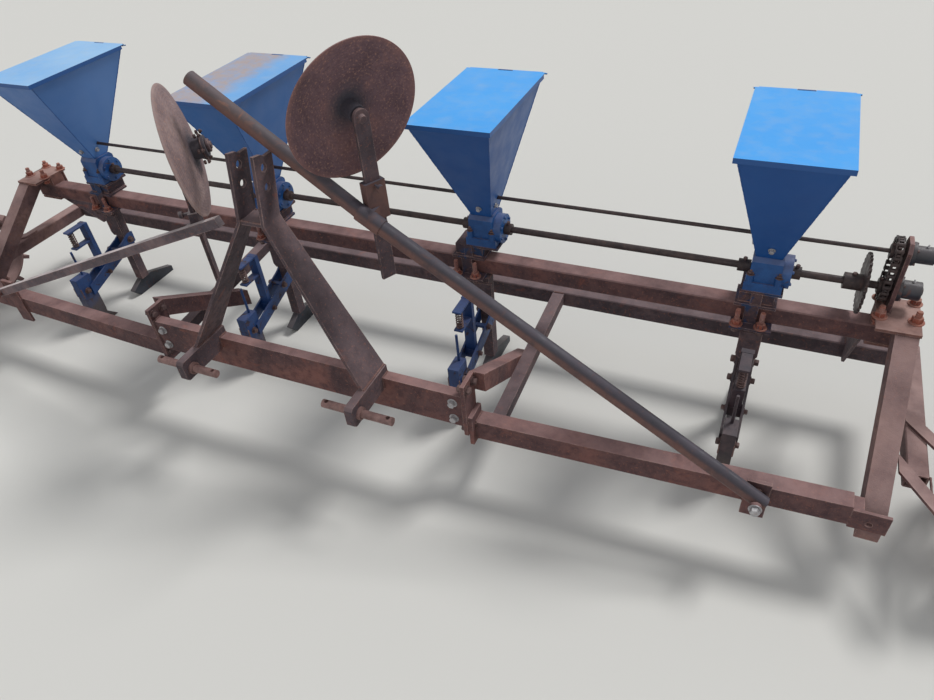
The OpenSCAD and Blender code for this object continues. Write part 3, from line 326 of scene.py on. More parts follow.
def disc_finish(name, dark, mid, light, centre, axis):
    """Sheet steel discs: rust in broad clouds, faint turned rings round the axle and a worn rim."""
    f = Finish(name)
    away = f.add("ShaderNodeVectorMath", operation="SUBTRACT")
    f.link(f.coords, away.inputs[0])
    away.inputs[1].default_value = centre
    along = f.add("ShaderNodeVectorMath", operation="CROSS_PRODUCT")
    f.link(away.outputs[0], along.inputs[0])
    along.inputs[1].default_value = axis
    reach = f.add("ShaderNodeVectorMath", operation="LENGTH")
    f.link(along.outputs[0], reach.inputs[0])
    reach = reach.outputs["Value"]
    clouds = f.noise(9, 6, 0.62, 0.7)
    fine = f.noise(120, 6, 0.66)
    colour = f.ramp(clouds, (0.3, srgb(*dark)), (0.52, srgb(*mid)), (0.74, srgb(*light)))
    colour = f.mix(f.ramp(fine, (0.45, 0.0), (0.75, 0.6)), colour, srgb(*dark))
    rings = f.math("SINE", f.math("MULTIPLY", reach, RING_WAVES))
    colour = f.mix(f.ramp(rings, (0.2, 0.0), (1.0, 0.12)), colour, srgb(*light))
    rim = f.ramp(f.math("ADD", reach, f.math("MULTIPLY", clouds, 0.01)), (RIM_FROM, 0.0), (RIM_TO, 0.6))
    colour = f.mix(rim, colour, srgb(*light))
    specks = f.ramp(f.noise(190, 5, 0.7), (0.55, 0.0), (0.64, 0.6))
    colour = f.mix(specks, colour, DISC_SPECK)
    near = f.ramp(f.math("ADD", reach, f.math("MULTIPLY", clouds, 0.03)), (0.04, 0.9), (0.08, 0.0))
    colour = f.mix(near, colour, HUB_OIL)
    f.bump((f.noise(14, 3), 0.002), (fine, 0.0007), (rings, 0.0002))
    return f.done(colour, f.ramp(fine, (0.3, 0.6), (0.7, 0.9)))


def turning(body):
    """Where a body's joint stands and which way its axis points."""
    joint = next(j for j in record["behaviour"]["joints"] if j["child"] == body)
    return Vector(joint["pos_m"]), Vector(joint["axis"]).normalized()


def joint_mm(body):
    """Where a body's joint stands in the row frame, in millimetres."""
    return [round(v / MM, 2) for v in turning(body)[0]]


disc_at = [turning("disc_1_body"), turning("disc_2_body")]
# In each rust below, the fourth colour tints the top faces: dust together with a painted highlight.
FINISHES = {
    "rust_frame": rust("rust_frame", (56, 40, 46), (90, 62, 62), (126, 82, 74), (166, 132, 128), 0.62),
    "rust_dark": rust("rust_dark", (52, 44, 50), (76, 62, 68), (104, 82, 82), (148, 126, 126), 0.5),
    "rust_light": rust("rust_light", (78, 58, 60), (108, 82, 82), (140, 106, 98), (172, 142, 136), 0.8),
    "rust_orange": rust("rust_orange", (76, 52, 52), (110, 76, 70), (146, 100, 86), (188, 154, 144), 0.75),
    "clamp_dark": rust("clamp_dark", (40, 34, 44), (58, 46, 56), (84, 62, 64), (112, 88, 92), 0.4,
                       (28, 50, 84)),
    "rust_grey": pole_finish(),
    "rust_pale": rust("rust_pale", (66, 58, 64), (92, 80, 86), (124, 104, 104), (204, 192, 190), 0.95),
    "pin_steel": dark_steel("pin_steel", (100, 74, 72), (162, 128, 122), 0.2, (120, 78, 66)),
    "shaft_steel": dark_steel("shaft_steel", (42, 34, 38), (76, 60, 58), 0.2, (92, 64, 54)),
    "blue_dark": blue_sheet("blue_dark", (6, 68, 134), (16, 88, 158), 0.42, 0.74),
    # The lids' light blue, with painted shade on their sides.
    "blue_light": blue_sheet("blue_light", (50, 162, 244), (68, 172, 248), 0.36, 0.76, side=LID_SIDE_SHADE),
    "blue_cast": casting("blue_cast", (12, 58, 112), (28, 86, 148), 0.25),
    "cast_brown": casting("cast_brown", (24, 28, 38), (46, 50, 62), 0.35),
    "disc_dark": disc_finish("disc_dark", (84, 62, 68), (108, 82, 88), (140, 100, 94), *disc_at[0]),
    "disc_light": disc_finish("disc_light", (104, 86, 88), (134, 112, 112), (168, 144, 138), *disc_at[1]),
}
STREAK_X = -0.43
# Lid 2's streaked blue also takes painted shade on its sides.
streaked_lid = blue_sheet("blue_light_streaked", (84, 158, 224), (112, 176, 234), 0.36, 0.76,
                          STREAK_X, LID_SIDE_SHADE)
# Lid 1's paler blue is a painted sheen of reflected sky light, with painted shade on its sides too.
sheen_lid = blue_sheet("blue_light_sheen", (122, 182, 236), (158, 204, 244), 0.36, 0.75, side=LID_SIDE_SHADE)
faded_boxes = (blue_sheet("blue_dark_faded", (58, 106, 168), (82, 126, 186), 0.45, 0.74),
               blue_sheet("blue_dark_dull", (24, 82, 148), (42, 102, 168), 0.43, 0.74))
# Welds and nuts too: their fourth colour is dust together with a painted highlight on top faces.
weld_rust = rust("weld_rust", (58, 42, 44), (84, 60, 60), (118, 84, 76), (150, 112, 104), 0.5)
nut_orange = rust("nut_orange", (96, 52, 44), (140, 72, 56), (172, 98, 76), (196, 150, 134), 0.55)
zinc = dark_steel("zinc", (150, 148, 152), (205, 204, 206), 0.75, (150, 120, 110))
steel_dull = dark_steel("steel_dull", (70, 54, 56), (122, 96, 92), 0.3)

slot_of = {s["node"]: s["material_slot"] for s in record["subparts"]}


# CAD nodes: soft edges and finish
SHARP, FLAT = math.radians(32), math.radians(0.6)
MERGE_M = 0.00002
# Widths of the rounded edges in millimetres: of sheet, of the frame, and of the three replaced nodes
SHEET_EDGE, FRAME_EDGE = 0.8, 1.5
OWN_EDGE = {"springs": 0, "chain_short": 0.3, "chain_drive": 0.3}


def sharp_edges():
    """A modifier's node group that keeps the edges sharp where two faces meet at a steep angle."""
    group = bpy.data.node_groups.new("sharp_edges", "GeometryNodeTree")
    for way in ("INPUT", "OUTPUT"):
        group.interface.new_socket("Geometry", in_out=way, socket_type="NodeSocketGeometry")
    start, end = group.nodes.new("NodeGroupInput"), group.nodes.new("NodeGroupOutput")
    angle = group.nodes.new("GeometryNodeInputMeshEdgeAngle")
    steep = group.nodes.new("FunctionNodeCompare")
    steep.operation = "GREATER_THAN"
    steep.inputs["B"].default_value = SHARP
    shade = group.nodes.new("GeometryNodeSetShadeSmooth")
    shade.domain = "EDGE"
    shade.inputs["Shade Smooth"].default_value = False
    for a, b in ((start.outputs[0], shade.inputs["Geometry"]),
                 (angle.outputs["Unsigned Angle"], steep.inputs["A"]),
                 (steep.outputs[0], shade.inputs["Selection"]),
                 (shade.outputs[0], end.inputs[0])):
        group.links.new(a, b)
    return group


CREASES = sharp_edges()


def soften(obj, width):
    """Rounds the edges of a CAD mesh by modifiers alone."""
    weld = obj.modifiers.new("weld", "WELD")
    weld.merge_threshold = MERGE_M
    flat = obj.modifiers.new("flat", "DECIMATE")
    flat.decimate_type = "DISSOLVE"
    flat.angle_limit = FLAT
    if width:
        bevel = obj.modifiers.new("edges", "BEVEL")
        bevel.width = width * MM
        bevel.segments = 2
        bevel.limit_method = "ANGLE"
        bevel.angle_limit = SHARP
        bevel.use_clamp_overlap = True
    obj.modifiers.new("creases", "NODES").node_group = CREASES
    obj.modifiers.new("normals", "WEIGHTED_NORMAL").keep_sharp = True


for name, obj in nodes.items():
    mesh = obj.data
    if "custom_normal" in mesh.attributes:
        mesh.attributes.remove(mesh.attributes["custom_normal"])
    mesh.polygons.foreach_set("use_smooth", [True] * len(mesh.polygons))
    mesh.materials.clear()
    mesh.materials.append(FINISHES[slot_of[name]])
    soften(obj, OWN_EDGE.get(name, SHEET_EDGE if name.startswith(("lid", "hopper")) else FRAME_EDGE))
nodes["lid_2"].data.materials[0] = streaked_lid
# Lid 1 takes the paler blue of a painted sheen of reflected light.
nodes["lid_1"].data.materials[0] = sheen_lid
nodes["opener_arms"].data.materials[0] = opener_paint("opener_paint")
nodes["boots"].data.materials[0] = opener_paint("boot_paint", soil_top=0.13)
nodes["braces"].data.materials[0] = FINISHES["rust_frame"]
for name, finish in zip(("hopper_1", "hopper_2"), faded_boxes):
    nodes[name].data.materials[0] = finish


# Small shapes
# The source's Y zero lies under the meter shaft, and the lids stand one row apart
SOURCE_Y = joint_mm("meter_shaft_body")[1]
ROW_SPACING = joint_mm("lid_2_body")[0] - joint_mm("lid_1_body")[0]
SIDES = (-1, 1)
ROWS = range(4)
# A washer's height and the length of a weld's ripple, in millimetres
WASHER_H, RIPPLE = 2.2, 4.2


def at(x, y, z):
    """A point of the CAD source, in millimetres, as a point of the row frame in metres."""
    return Vector((x, y + SOURCE_Y, z)) * MM


def to(x, y, z, axis=(0, 0, 1), spin=0.0):
    """A place at a point of the CAD source whose Z axis looks along the given axis."""
    turn = Vector((0, 0, 1)).rotation_difference(Vector(axis)).to_matrix().to_4x4()
    return Matrix.Translation(at(x, y, z)) @ turn @ Matrix.Rotation(math.radians(spin), 4, "Z")


def row_x(i):
    """The middle of row 0, 1, 2 or 3, counted from the left."""
    return (i - 1.5) * ROW_SPACING


class Part:
    """Gathers faces and makes one piece of them."""

    def __init__(self):
        self.verts = []
        self.faces = []

    def add(self, verts, faces, place=None):
        n = len(self.verts)
        self.verts += [tuple(place @ Vector(v)) if place else tuple(v) for v in verts]
        self.faces += [[n + k for k in f] for f in faces]

    def lathe(self, place, profile, sides=20):
        """Turns (radius, height) pairs in millimetres round the place's Z axis."""
        verts, faces, rings = [], [], []
        for r, z in profile:
            rings.append((len(verts), sides if r else 1))
            for k in range(sides if r else 1):
                a = 2 * math.pi * k / sides
                verts.append((r * MM * math.cos(a), r * MM * math.sin(a), z * MM))
        for (a, na), (b, nb) in zip(rings, rings[1:]):
            for k in range(sides):
                j = k + 1
                face = list(dict.fromkeys([a + k % na, a + j % na, b + j % nb, b + k % nb]))
                if len(face) > 2:
                    faces.append(face)
        self.add(verts, faces, place)

    def slab(self, place, outline, z0, z1):
        """Extrudes an outline in millimetres along the place's Z axis."""
        n = len(outline)
        verts = [(x * MM, y * MM, z * MM) for z in (z0, z1) for x, y in outline]
        faces = [list(range(n))[::-1], list(range(n, 2 * n))]
        faces += [[k, (k + 1) % n, n + (k + 1) % n, n + k] for k in range(n)]
        self.add(verts, faces, place)

    def tube(self, points, radius, sides=8):
        """Sweeps a ring along points in metres; radius is a number or a function of the point's number."""
        verts, faces = [], []
        side = None
        for i, p in enumerate(points):
            way = (points[min(i + 1, len(points) - 1)] - points[max(i - 1, 0)]).normalized()
            side = way.orthogonal() if side is None else side - way * side.dot(way)
            side.normalize()
            other = way.cross(side)
            r = radius(i) if callable(radius) else radius
            verts += [p + (side * math.cos(a) + other * math.sin(a)) * r
                      for a in (2 * math.pi * k / sides for k in range(sides))]
        n = len(points)
        for i in range(n - 1):
            for k in range(sides):
                j = (k + 1) % sides
                faces.append([i * sides + k, i * sides + j, (i + 1) * sides + j, (i + 1) * sides + k])
        faces += [list(range(sides))[::-1], [(n - 1) * sides + k for k in range(sides)]]
        self.add(verts, faces)

    def weld(self, *path, r):
        """A rippled bead of about radius r along points of the CAD source, in millimetres."""
        stops = [at(*p) for p in path]
        points = []
        for a, b in zip(stops, stops[1:]):
            n = max(3, round((b - a).length / (RIPPLE * MM / 3)))
            points += [a.lerp(b, k / n) for k in range(n)]
        points.append(stops[-1])
        last = len(points) - 1
        self.tube(points, lambda i: r * MM * (0.84 + 0.2 * math.sin(2.1 * i) + 0.06 * math.sin(0.37 * i))
                  * (0.55 if i in (0, last) else 1), 6)

    def ring_weld(self, place, radius, r, pitch=RIPPLE):
        """A rippled bead of about radius r in a ring round the place's Z axis."""
        n = max(9, round(2 * math.pi * radius / (pitch / 3)))
        points = [place @ (Vector((math.cos(a), math.sin(a), 0)) * radius * MM)
                  for a in (2 * math.pi * k / n for k in range(n + 1))]
        self.tube(points, lambda i: r * MM * (0.86 + 0.16 * math.sin(2.1 * i)), 6)

    def hexagon(self, place, af, z0, z1):
        r = af / math.sqrt(3)
        c = min(1.4, (z1 - z0) * 0.2)
        self.lathe(place, [(0, z0), (r * 0.93, z0), (r, z0 + c), (r, z1 - c), (r * 0.92, z1), (0, z1)], 6)

    def washer(self, place, r):
        h = WASHER_H
        self.lathe(place, [(0, 0), (r - 0.4, 0), (r, 0.5), (r, h - 0.5), (r - 0.5, h), (0, h)])

    def bolt(self, place, af, washer=True):
        z = WASHER_H if washer else 0
        if washer:
            self.washer(place, af * 0.78)
        self.hexagon(place, af, z - 0.1, z + af * 0.6)
        top = z + af * 0.6
        crown = top + 0.7
        self.lathe(place, [(af * 0.43, top - 0.3), (af * 0.4, top + 0.4), (af * 0.2, crown), (0, crown)])

    def thread(self, place, r, z0, z1, pitch=1.75):
        profile = [(0, z0), (r, z0)]
        n = max(2, int((z1 - z0 - 1.5) / pitch))
        for k in range(n):
            z = z0 + k * pitch
            profile += [(r, z + pitch * 0.35), (r - 0.8, z + pitch * 0.7), (r, z + pitch)]
        self.lathe(place, profile + [(r - 1.2, z1), (0, z1)], 16)

    def nut(self, place, af, r, height, stud):
        foot = WASHER_H - 0.1
        self.washer(place, af * 0.8)
        self.hexagon(place, af, foot, foot + height)
        self.thread(place, r, foot + height - 0.5, stud)

    def piece(self, name, finish, body, slot, sharp=38):
        mesh = bpy.data.meshes.new(name)
        mesh.from_pydata([tuple(v) for v in self.verts], [], self.faces)
        mesh.validate()
        mesh.polygons.foreach_set("use_smooth", [True] * len(mesh.polygons))
        mesh.set_sharp_from_angle(angle=math.radians(sharp))
        mesh.materials.append(finish)
        obj = bpy.data.objects.new(name, mesh)
        scene.collection.objects.link(obj)
        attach(obj, body)
        return obj


# Places in the source's millimetres; where a place has a twin on the left, this is the right one.
# The axle stands where the drive chain's straight run just reaches it from the agitator shaft.
METER_Z, AGITATOR_Z = joint_mm("meter_shaft_body")[2], joint_mm("agitator_shaft_body")[2]
WHEEL_X, _, AXLE_Z = joint_mm("wheel_right_body")
POLE_X, _, POLE_Z = joint_mm("marker_pole_body")
BAR_X, _, BAR_Z = joint_mm("marker_bar_body")
DRIVE_RUN, DRIVE_PITCH = 26, 19.05
AXLE_Y = -math.sqrt((DRIVE_RUN * DRIVE_PITCH) ** 2 - (AGITATOR_Z - AXLE_Z) ** 2)
SHORT_CHAIN_X, DRIVE_CHAIN_X = 1384, 1626
SMALL_HUB_X, COLLAR_X, DRIVE_HUB_X = 1375.5, 1318, 1634
FLANGE_X, BEARING_X = 1419, 1440
METER_SIDE_X, METER_SCREWS_R = 58, 34
LINK_PIN_Y, LINK_PIN_Z = -620, 318
MARKER_BOLT_Y, MARKER_HALF = -519, 26
WHEEL_HALF, AXLE_END_X = 38, 1768
HUB_R, RIM_INNER_R, RIM_OUTER_R, LUG_HALF = 28.4, 158.6, 165, 7.4
BOX_FOOT, BOX_TOP = (29.2, 29.6, 561), (103.9, 184.8, 866)
BOX_TILT_X, BOX_TILT_Y = math.radians(13.75), math.radians(26.95)
BEAM_FRONT_Y, BEAM_BACK_Y = -500, -442
BEAM_END_X, JOINT_INNER_X, JOINT_OUTER_X = 499.5, 500, 512
WING_X, WING_FRONT_Y, WING_TILT = 524, -484, math.radians(2.3)
END_BOLTS_X, END_BEAM_X, HANGER_X = (1388, 1464), (1422, 1472), (1366, 1374)


# Chains and springs
def loop_point(k, run, teeth, pitch, r):
    """Pin k of a chain, in its own plane: two straight runs and half a turn round each sprocket."""
    half = teeth // 2
    j = k % (2 * (run + half))
    if j < run:
        return Vector((j * pitch, r))
    if j < run + half:
        a = math.radians((j - run) * 360 / teeth)
        return Vector((run * pitch + r * math.sin(a), r * math.cos(a)))
    if j < 2 * run + half:
        return Vector(((2 * run + half - j) * pitch, -r))
    a = math.radians((j - 2 * run - half) * 360 / teeth)
    return Vector((-r * math.sin(a), -r * math.cos(a)))


def rounded(x, radius, start):
    """Half a circle round (x, 0), from a start angle in degrees."""
    angles = (math.radians(start + 22.5 * m) for m in range(9))
    return [(x + radius * math.cos(t), radius * math.sin(t)) for t in angles]


def roller_chain(name, place, run, teeth, pitch, roller, width, plate):
    """Links, rollers and pins: two straight runs of so many links between two equal sprockets."""
    part = Part()
    r = pitch / 2 / math.sin(math.pi / teeth)
    n = 2 * run + teeth
    h, waist = pitch * 0.37, pitch * 0.27
    for k in range(n):
        a, b = loop_point(k, run, teeth, pitch, r), loop_point(k + 1, run, teeth, pitch, r)
        way = (b - a).normalized()
        turn = Matrix.Rotation(math.atan2(way.y, way.x), 4, "Z")
        here = place @ Matrix.Translation((a.x * MM, a.y * MM, 0)) @ turn
        gap = (b - a).length
        outline = rounded(0, h, 90) + [(gap / 2, -waist)] + rounded(gap, h, -90) + [(gap / 2, waist)]
        inner = width / 2 + (plate + 0.3 if k % 2 else 0)
        for s in SIDES:
            part.slab(here, outline, *sorted((s * inner, s * (inner + plate))))
        part.lathe(here, [(0, -width / 2), (roller, -width / 2), (roller, width / 2), (0, width / 2)], 16)
        end = width / 2 + 2 * plate + 1.3
        pin = pitch * 0.15
        tip = pin * 0.7
        part.lathe(here, [(0, -end), (tip, -end), (pin, 0.6 - end),
                          (pin, end - 0.6), (tip, end), (0, end)], 12)
    return part.piece(name + "_links", FINISHES["shaft_steel"], body_of(nodes[name])[0], "shaft_steel", 30)


def chain_place(x, y, z, angle):
    """The chain's own plane: U along the run, V across it, and its width along X."""
    a = math.radians(angle)
    turn = Matrix(((0, 0, 1), (math.cos(a), -math.sin(a), 0), (math.sin(a), math.cos(a), 0))).to_4x4()
    return Matrix.Translation(at(x, y, z)) @ turn


drive_angle = math.degrees(math.atan2(AGITATOR_Z - AXLE_Z, -AXLE_Y))
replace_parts(roller_chain("chain_short", chain_place(SHORT_CHAIN_X, 0, METER_Z, 90), run=6, teeth=12,
                         pitch=15.875, roller=5, width=9, plate=1.8), "chain_short")
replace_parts(roller_chain("chain_drive", chain_place(DRIVE_CHAIN_X, AXLE_Y, AXLE_Z, drive_angle),
                         run=DRIVE_RUN, teeth=16, pitch=DRIVE_PITCH, roller=6, width=11, plate=2),
            "chain_drive")

SPRING_R, SPRING_WIRE_R, SPRING_TURNS, SPRING_STEPS = 9, 2, 8, 160
SPRING_Y, SPRING_LOW, SPRING_RISE = -225, 314, 53


def coil_lift(t):
    """How far up the spring a turn is: the end turns lie nearly flat, the others rise evenly."""
    flat, flat_rise = 0.11, 0.04
    if t < flat:
        return flat_rise * t / flat
    if t > 1 - flat:
        return 1 - flat_rise + flat_rise * (t - (1 - flat)) / flat
    return flat_rise + (1 - 2 * flat_rise) * (t - flat) / (1 - 2 * flat)


springs = Part()
for i in ROWS:
    coil = []
    for k in range(SPRING_STEPS + 1):
        t = k / SPRING_STEPS
        a = 2 * math.pi * SPRING_TURNS * t
        coil.append(at(row_x(i) + SPRING_R * math.cos(a), SPRING_Y + SPRING_R * math.sin(a),
                       SPRING_LOW + SPRING_RISE * coil_lift(t)))
    springs.tube(coil, SPRING_WIRE_R * MM, 10)
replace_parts(springs.piece("spring_coils", steel_dull, "frame", "pin_steel", 60), "springs")


# Bolts, nuts and screws; a row's clamp is shifted from its middle, with a nut on each side of it
CLAMP_SHIFT = (-7, -7, -43, -7)
CLAMP_NUTS_X = (-35, 24)
CAP_SCREW = ((0, 0), (3.4, 0), (3.4, 3.4), (3, 4), (1.7, 4), (1.5, 2.4), (0, 2.4))
GREASE_NIPPLE = ((0, 3.4), (2, 3.4), (2, 5), (1.2, 6), (1.8, 7), (1.2, 8.2), (0, 8.4))
clamp_nuts, zinc_bolts, dull_bolts, blue_bolts = Part(), Part(), Part(), Part()
for i in ROWS:
    x = row_x(i)
    for b in CLAMP_NUTS_X:
        nut_x = x + CLAMP_SHIFT[i] + b
        clamp_nuts.nut(to(nut_x, -58, 370, spin=17 * b), 21, 6.4, 12, 47)
        dull_bolts.bolt(to(nut_x, -58, 362, (0, 0, -1)), 17)
        dull_bolts.bolt(to(nut_x, 25, 362, (0, 0, -1)), 17)
    # Bolts through the foot of the seed box and on the meter's lugs, cover and side plate
    for s in SIDES:
        out_x = (s * math.cos(BOX_TILT_X), 0, -math.sin(BOX_TILT_X))
        out_y = (0, s * math.cos(BOX_TILT_Y), -math.sin(BOX_TILT_Y))
        zinc_bolts.bolt(to(x + 2, s * 45.6, 591, out_y, 12), 11)
        zinc_bolts.bolt(to(x + s * 36.4, -12, 588, out_x, 31), 10)
        dull_bolts.nut(to(x + s * 33, -38, 513, spin=s * 23), 13, 4, 6, 14)
    for k in range(6):
        a = math.radians(30 + 60 * k)
        y, z = METER_SCREWS_R * math.cos(a), METER_Z + METER_SCREWS_R * math.sin(a)
        blue_bolts.bolt(to(x + METER_SIDE_X, y, z, (1, 0, 0), 40 * k), 7, False)
    # Opener bolts at the shank, at the tie and on the boot
    for s in SIDES:
        for out, y, z, af in ((23.3, -29, 231, 17), (23.3, -90, 217, 15), (23.3, -165, 173, 12),
                              (17, -275, 158, 15)):
            dull_bolts.bolt(to(x + s * out, y, z, (s, 0, 0), 20 + y), af)
for s in SIDES:
    for b in END_BOLTS_X:
        clamp_nuts.nut(to(s * b, 24, 460, spin=b), 21, 6.4, 12, 24)
        clamp_nuts.nut(to(s * b, -50, 460, spin=b + 14), 22, 7, 13, 30)
        clamp_nuts.bolt(to(s * b, -50, 452, (0, 0, -1)), 19)
        clamp_nuts.bolt(to(s * b, 24, 362, (0, 0, -1)), 19)
    for y, z in ((-491, 351), (-455, 351)):
        dull_bolts.bolt(to(s * JOINT_OUTER_X, y, z, (s, 0, 0), 15), 16)
        dull_bolts.bolt(to(s * JOINT_INNER_X, y, z, (-s, 0, 0), 40), 16)
    dull_bolts.bolt(to(s * JOINT_INNER_X, -491, 212, (-s, 0, 0), 40), 14)
    for z in (304, 250):
        zinc_bolts.bolt(to(s * 474, BEAM_FRONT_Y, z, (0, -1, 0), z), 17)
zinc_bolts.bolt(to(POLE_X, MARKER_BOLT_Y, POLE_Z, (0, -1, 0), 8), 19)
dull_bolts.bolt(to(BAR_X, MARKER_BOLT_Y, BAR_Z, (0, -1, 0), 8), 19)
# Bearing flanges: four cap screws and a grease nipple each
for z, r, nipple_z in ((METER_Z, 26, 21.5), (AGITATOR_Z, 23.5, 19.5)):
    for k in range(4):
        a = math.radians(45 + 90 * k)
        place = to(FLANGE_X, r * math.cos(a), z + r * math.sin(a), (1, 0, 0))
        dull_bolts.lathe(place, CAP_SCREW, 14)
    top = to(BEARING_X, 0, z + nipple_z)
    zinc_bolts.hexagon(top, 6, 0, 3.5)
    zinc_bolts.lathe(top, GREASE_NIPPLE, 12)
clamp_nuts.piece("clamp_nuts", nut_orange, "frame", "rust_orange")
zinc_bolts.piece("zinc_bolts", zinc, "frame", "pin_steel")
dull_bolts.piece("frame_bolts", steel_dull, "frame", "pin_steel")
blue_bolts.piece("meter_screws", FINISHES["blue_cast"], "frame", "blue_cast")

# Set screws of the collars and sprocket hubs turn with their shafts
screws = Part()
for i in ROWS:
    for x in (row_x(i) - 52, row_x(i) + 69):
        screws.lathe(to(x, 0, METER_Z + 15.5), [(0, 0), (4, 0), (4, 2), (3.4, 3), (0, 3)], 12)
        screws.hexagon(to(x, 0, METER_Z + 15.5), 9, 2.9, 7.5)
screws.hexagon(to(COLLAR_X, 0, METER_Z + 19.5), 10, 0, 5)
screws.hexagon(to(SMALL_HUB_X, 0, METER_Z + 17.5), 8, 0, 4)
screws.piece("meter_shaft_screws", steel_dull, "meter_shaft_body", "pin_steel")
screws = Part()
for x in (SMALL_HUB_X, DRIVE_HUB_X):
    screws.hexagon(to(x, 0, AGITATOR_Z + 15.6), 8, 0, 4)
screws.piece("agitator_shaft_screws", steel_dull, "agitator_shaft_body", "pin_steel")

# Discs: bolts through the plate round the hub; the plate's two faces stand so far out along the axle
DISC_BOLTS, DISC_BOLTS_R, PLATE_IN, PLATE_OUT = 6, 37, 45.9, 49.6
for n, (centre, axis) in enumerate(disc_at):
    part = Part()
    turn = Vector((0, 0, 1)).rotation_difference(axis).to_matrix().to_4x4()
    for k in range(DISC_BOLTS):
        a = 2 * math.pi * k / DISC_BOLTS
        spot = Vector((DISC_BOLTS_R * math.cos(a), DISC_BOLTS_R * math.sin(a), 0)) * MM
        base = Matrix.Translation(centre) @ turn @ Matrix.Translation(spot)
        behind = base @ Matrix.Translation((0, 0, PLATE_IN * MM)) @ Matrix.Rotation(math.pi, 4, "X")
        front = base @ Matrix.Translation((0, 0, PLATE_OUT * MM))
        part.bolt(behind, 9, False)
        part.hexagon(front, 9, 0, 5)
        part.thread(front, 2.6, 4.8, 8, 1)
    part.ring_weld(Matrix.Translation(centre) @ turn @ Matrix.Translation((0, 0, 50 * MM)), 27, 2.6)
    part.piece("disc_%d_bolts" % (n + 1), steel_dull, "disc_%d_body" % (n + 1), "pin_steel")

# Wheels: beads where spokes and lugs are welded, and a split pin at the axle's end
for s, name in ((-1, "left"), (1, "right")):
    part = Part()
    for k in range(8):
        a = math.radians(22.5 + 45 * k)
        way = Vector((0, -math.sin(a), math.cos(a)))
        aim = Vector((0, 0, 1)).rotation_difference(way).to_matrix().to_4x4()
        for reach in (HUB_R, RIM_INNER_R):
            foot = at(s * WHEEL_X, AXLE_Y, AXLE_Z) + way * reach * MM
            part.ring_weld(Matrix.Translation(foot) @ aim, 7.6, 2.0, 3.6)
    for k in range(12):
        a = math.radians(30 * k)
        out, side = Vector((0, -math.sin(a), math.cos(a))), Vector((0, math.cos(a), math.sin(a)))
        for t in SIDES:
            spot = Vector((0, AXLE_Y, AXLE_Z)) + out * RIM_OUTER_R + side * t * LUG_HALF
            part.weld((s * (WHEEL_X - WHEEL_HALF), spot.y, spot.z),
                      (s * (WHEEL_X + WHEEL_HALF), spot.y, spot.z), r=2.6)
    part.piece("wheel_%s_welds" % name, weld_rust, "wheel_%s_body" % name, "rust_light")

PIN_REACH, PIN_STEP, PIN_WAVE, PIN_R = 21, 3, 1.5, 1.7
pins = Part()
for s in SIDES:
    pins.tube([at(s * AXLE_END_X, AXLE_Y + PIN_REACH - PIN_STEP * k, AXLE_Z + (PIN_WAVE if k % 2 else 0))
               for k in range(2 * PIN_REACH // PIN_STEP + 1)], PIN_R * MM)
    pins.ring_weld(to(s * AXLE_END_X, AXLE_Y + PIN_REACH, AXLE_Z, (1, 0, 0)), 3, 1.5, 2)
pins.piece("split_pins", steel_dull, "frame", "pin_steel")

# Welds
welds = Part()
for s in SIDES:
    # Mast plates on the hitch arms and their tie, and the arms on the front beam
    for x in (260, 270.5):
        welds.weld((s * x, -579, 353), (s * x, -471, 353), r=4)
    for y in (-500, -444):
        welds.weld((s * 30, y, 743), (s * 6, y, 743), r=2.6)
    for x in (253, 277):
        welds.weld((s * x, BEAM_FRONT_Y, 292), (s * x, BEAM_FRONT_Y, 330), (s * x, -470, 330), r=4)
    # Front beam, brace and wing on the joint plates
    x = s * BEAM_END_X
    welds.weld((x, BEAM_FRONT_Y, 228), (x, BEAM_FRONT_Y, 330), (x, -471, 330), r=3.6)
    welds.weld((s * 502, BEAM_BACK_Y, 309), (s * 502, BEAM_BACK_Y, 369), r=3.6)
    welds.weld((s * 513, BEAM_BACK_Y, 311), (s * 513, BEAM_BACK_Y, 369), r=3)
    x = s * (WING_X + 1)
    for z in (175, 235):
        welds.weld((x, WING_FRONT_Y, z), (x, -440, z), r=3.4)
    welds.weld((x, WING_FRONT_Y, 176), (x, WING_FRONT_Y, 234), r=3.4)
    # Marker brackets on the wings
    for x in (POLE_X - MARKER_HALF, POLE_X + MARKER_HALF):
        y = WING_FRONT_Y + (x - WING_X) * math.tan(WING_TILT)
        welds.weld((s * x, y, 176), (s * x, y, 235), r=3.4)
    # Corner plate, end beam and end clamp
    for x in END_BEAM_X:
        welds.weld((s * x, -440, 202), (s * x, -440, 168), r=3.4)
        welds.weld((s * x, -98, 452), (s * x, -37, 452), r=3)
    welds.weld((s * 1424, -100, 453), (s * 1470, -100, 453), r=3)
    # Hangers on the toolbar and on the rail, struts and side beams on the rail
    for x in HANGER_X:
        welds.weld((s * x, -28, 370), (s * x, 13, 370), r=3)
        welds.weld((s * x, 107, 245), (s * x, 148, 245), r=3)
    for z in (208, 243):
        welds.weld((s * 543, 104.5, z), (s * 575, 104.5, z), r=3.4)
    for z in (200, 245):
        welds.weld((s * 1500, 106, z), (s * 1500, 154, z), r=3.4)
    # Carrier bars on the side beams and on the carrier plate
    welds.weld((s * 1545, -160, 246), (s * 1545, -210, 246), r=3)
    welds.weld((s * 1545, -371, 246), (s * 1545, -318, 246), r=3)
    for y0, y1 in ((-237, -284), (-453, -504)):
        welds.weld((s * 1600, y0, 253), (s * 1600, y1, 253), r=3)
    welds.ring_weld(to(s * 1608.5, AXLE_Y, AXLE_Z, (1, 0, 0)), 24, 2.8)
    # Collars of the hitch pins
    for x in (245, 285):
        welds.ring_weld(to(s * x, LINK_PIN_Y, LINK_PIN_Z, (1, 0, 0)), 12, 2.2)
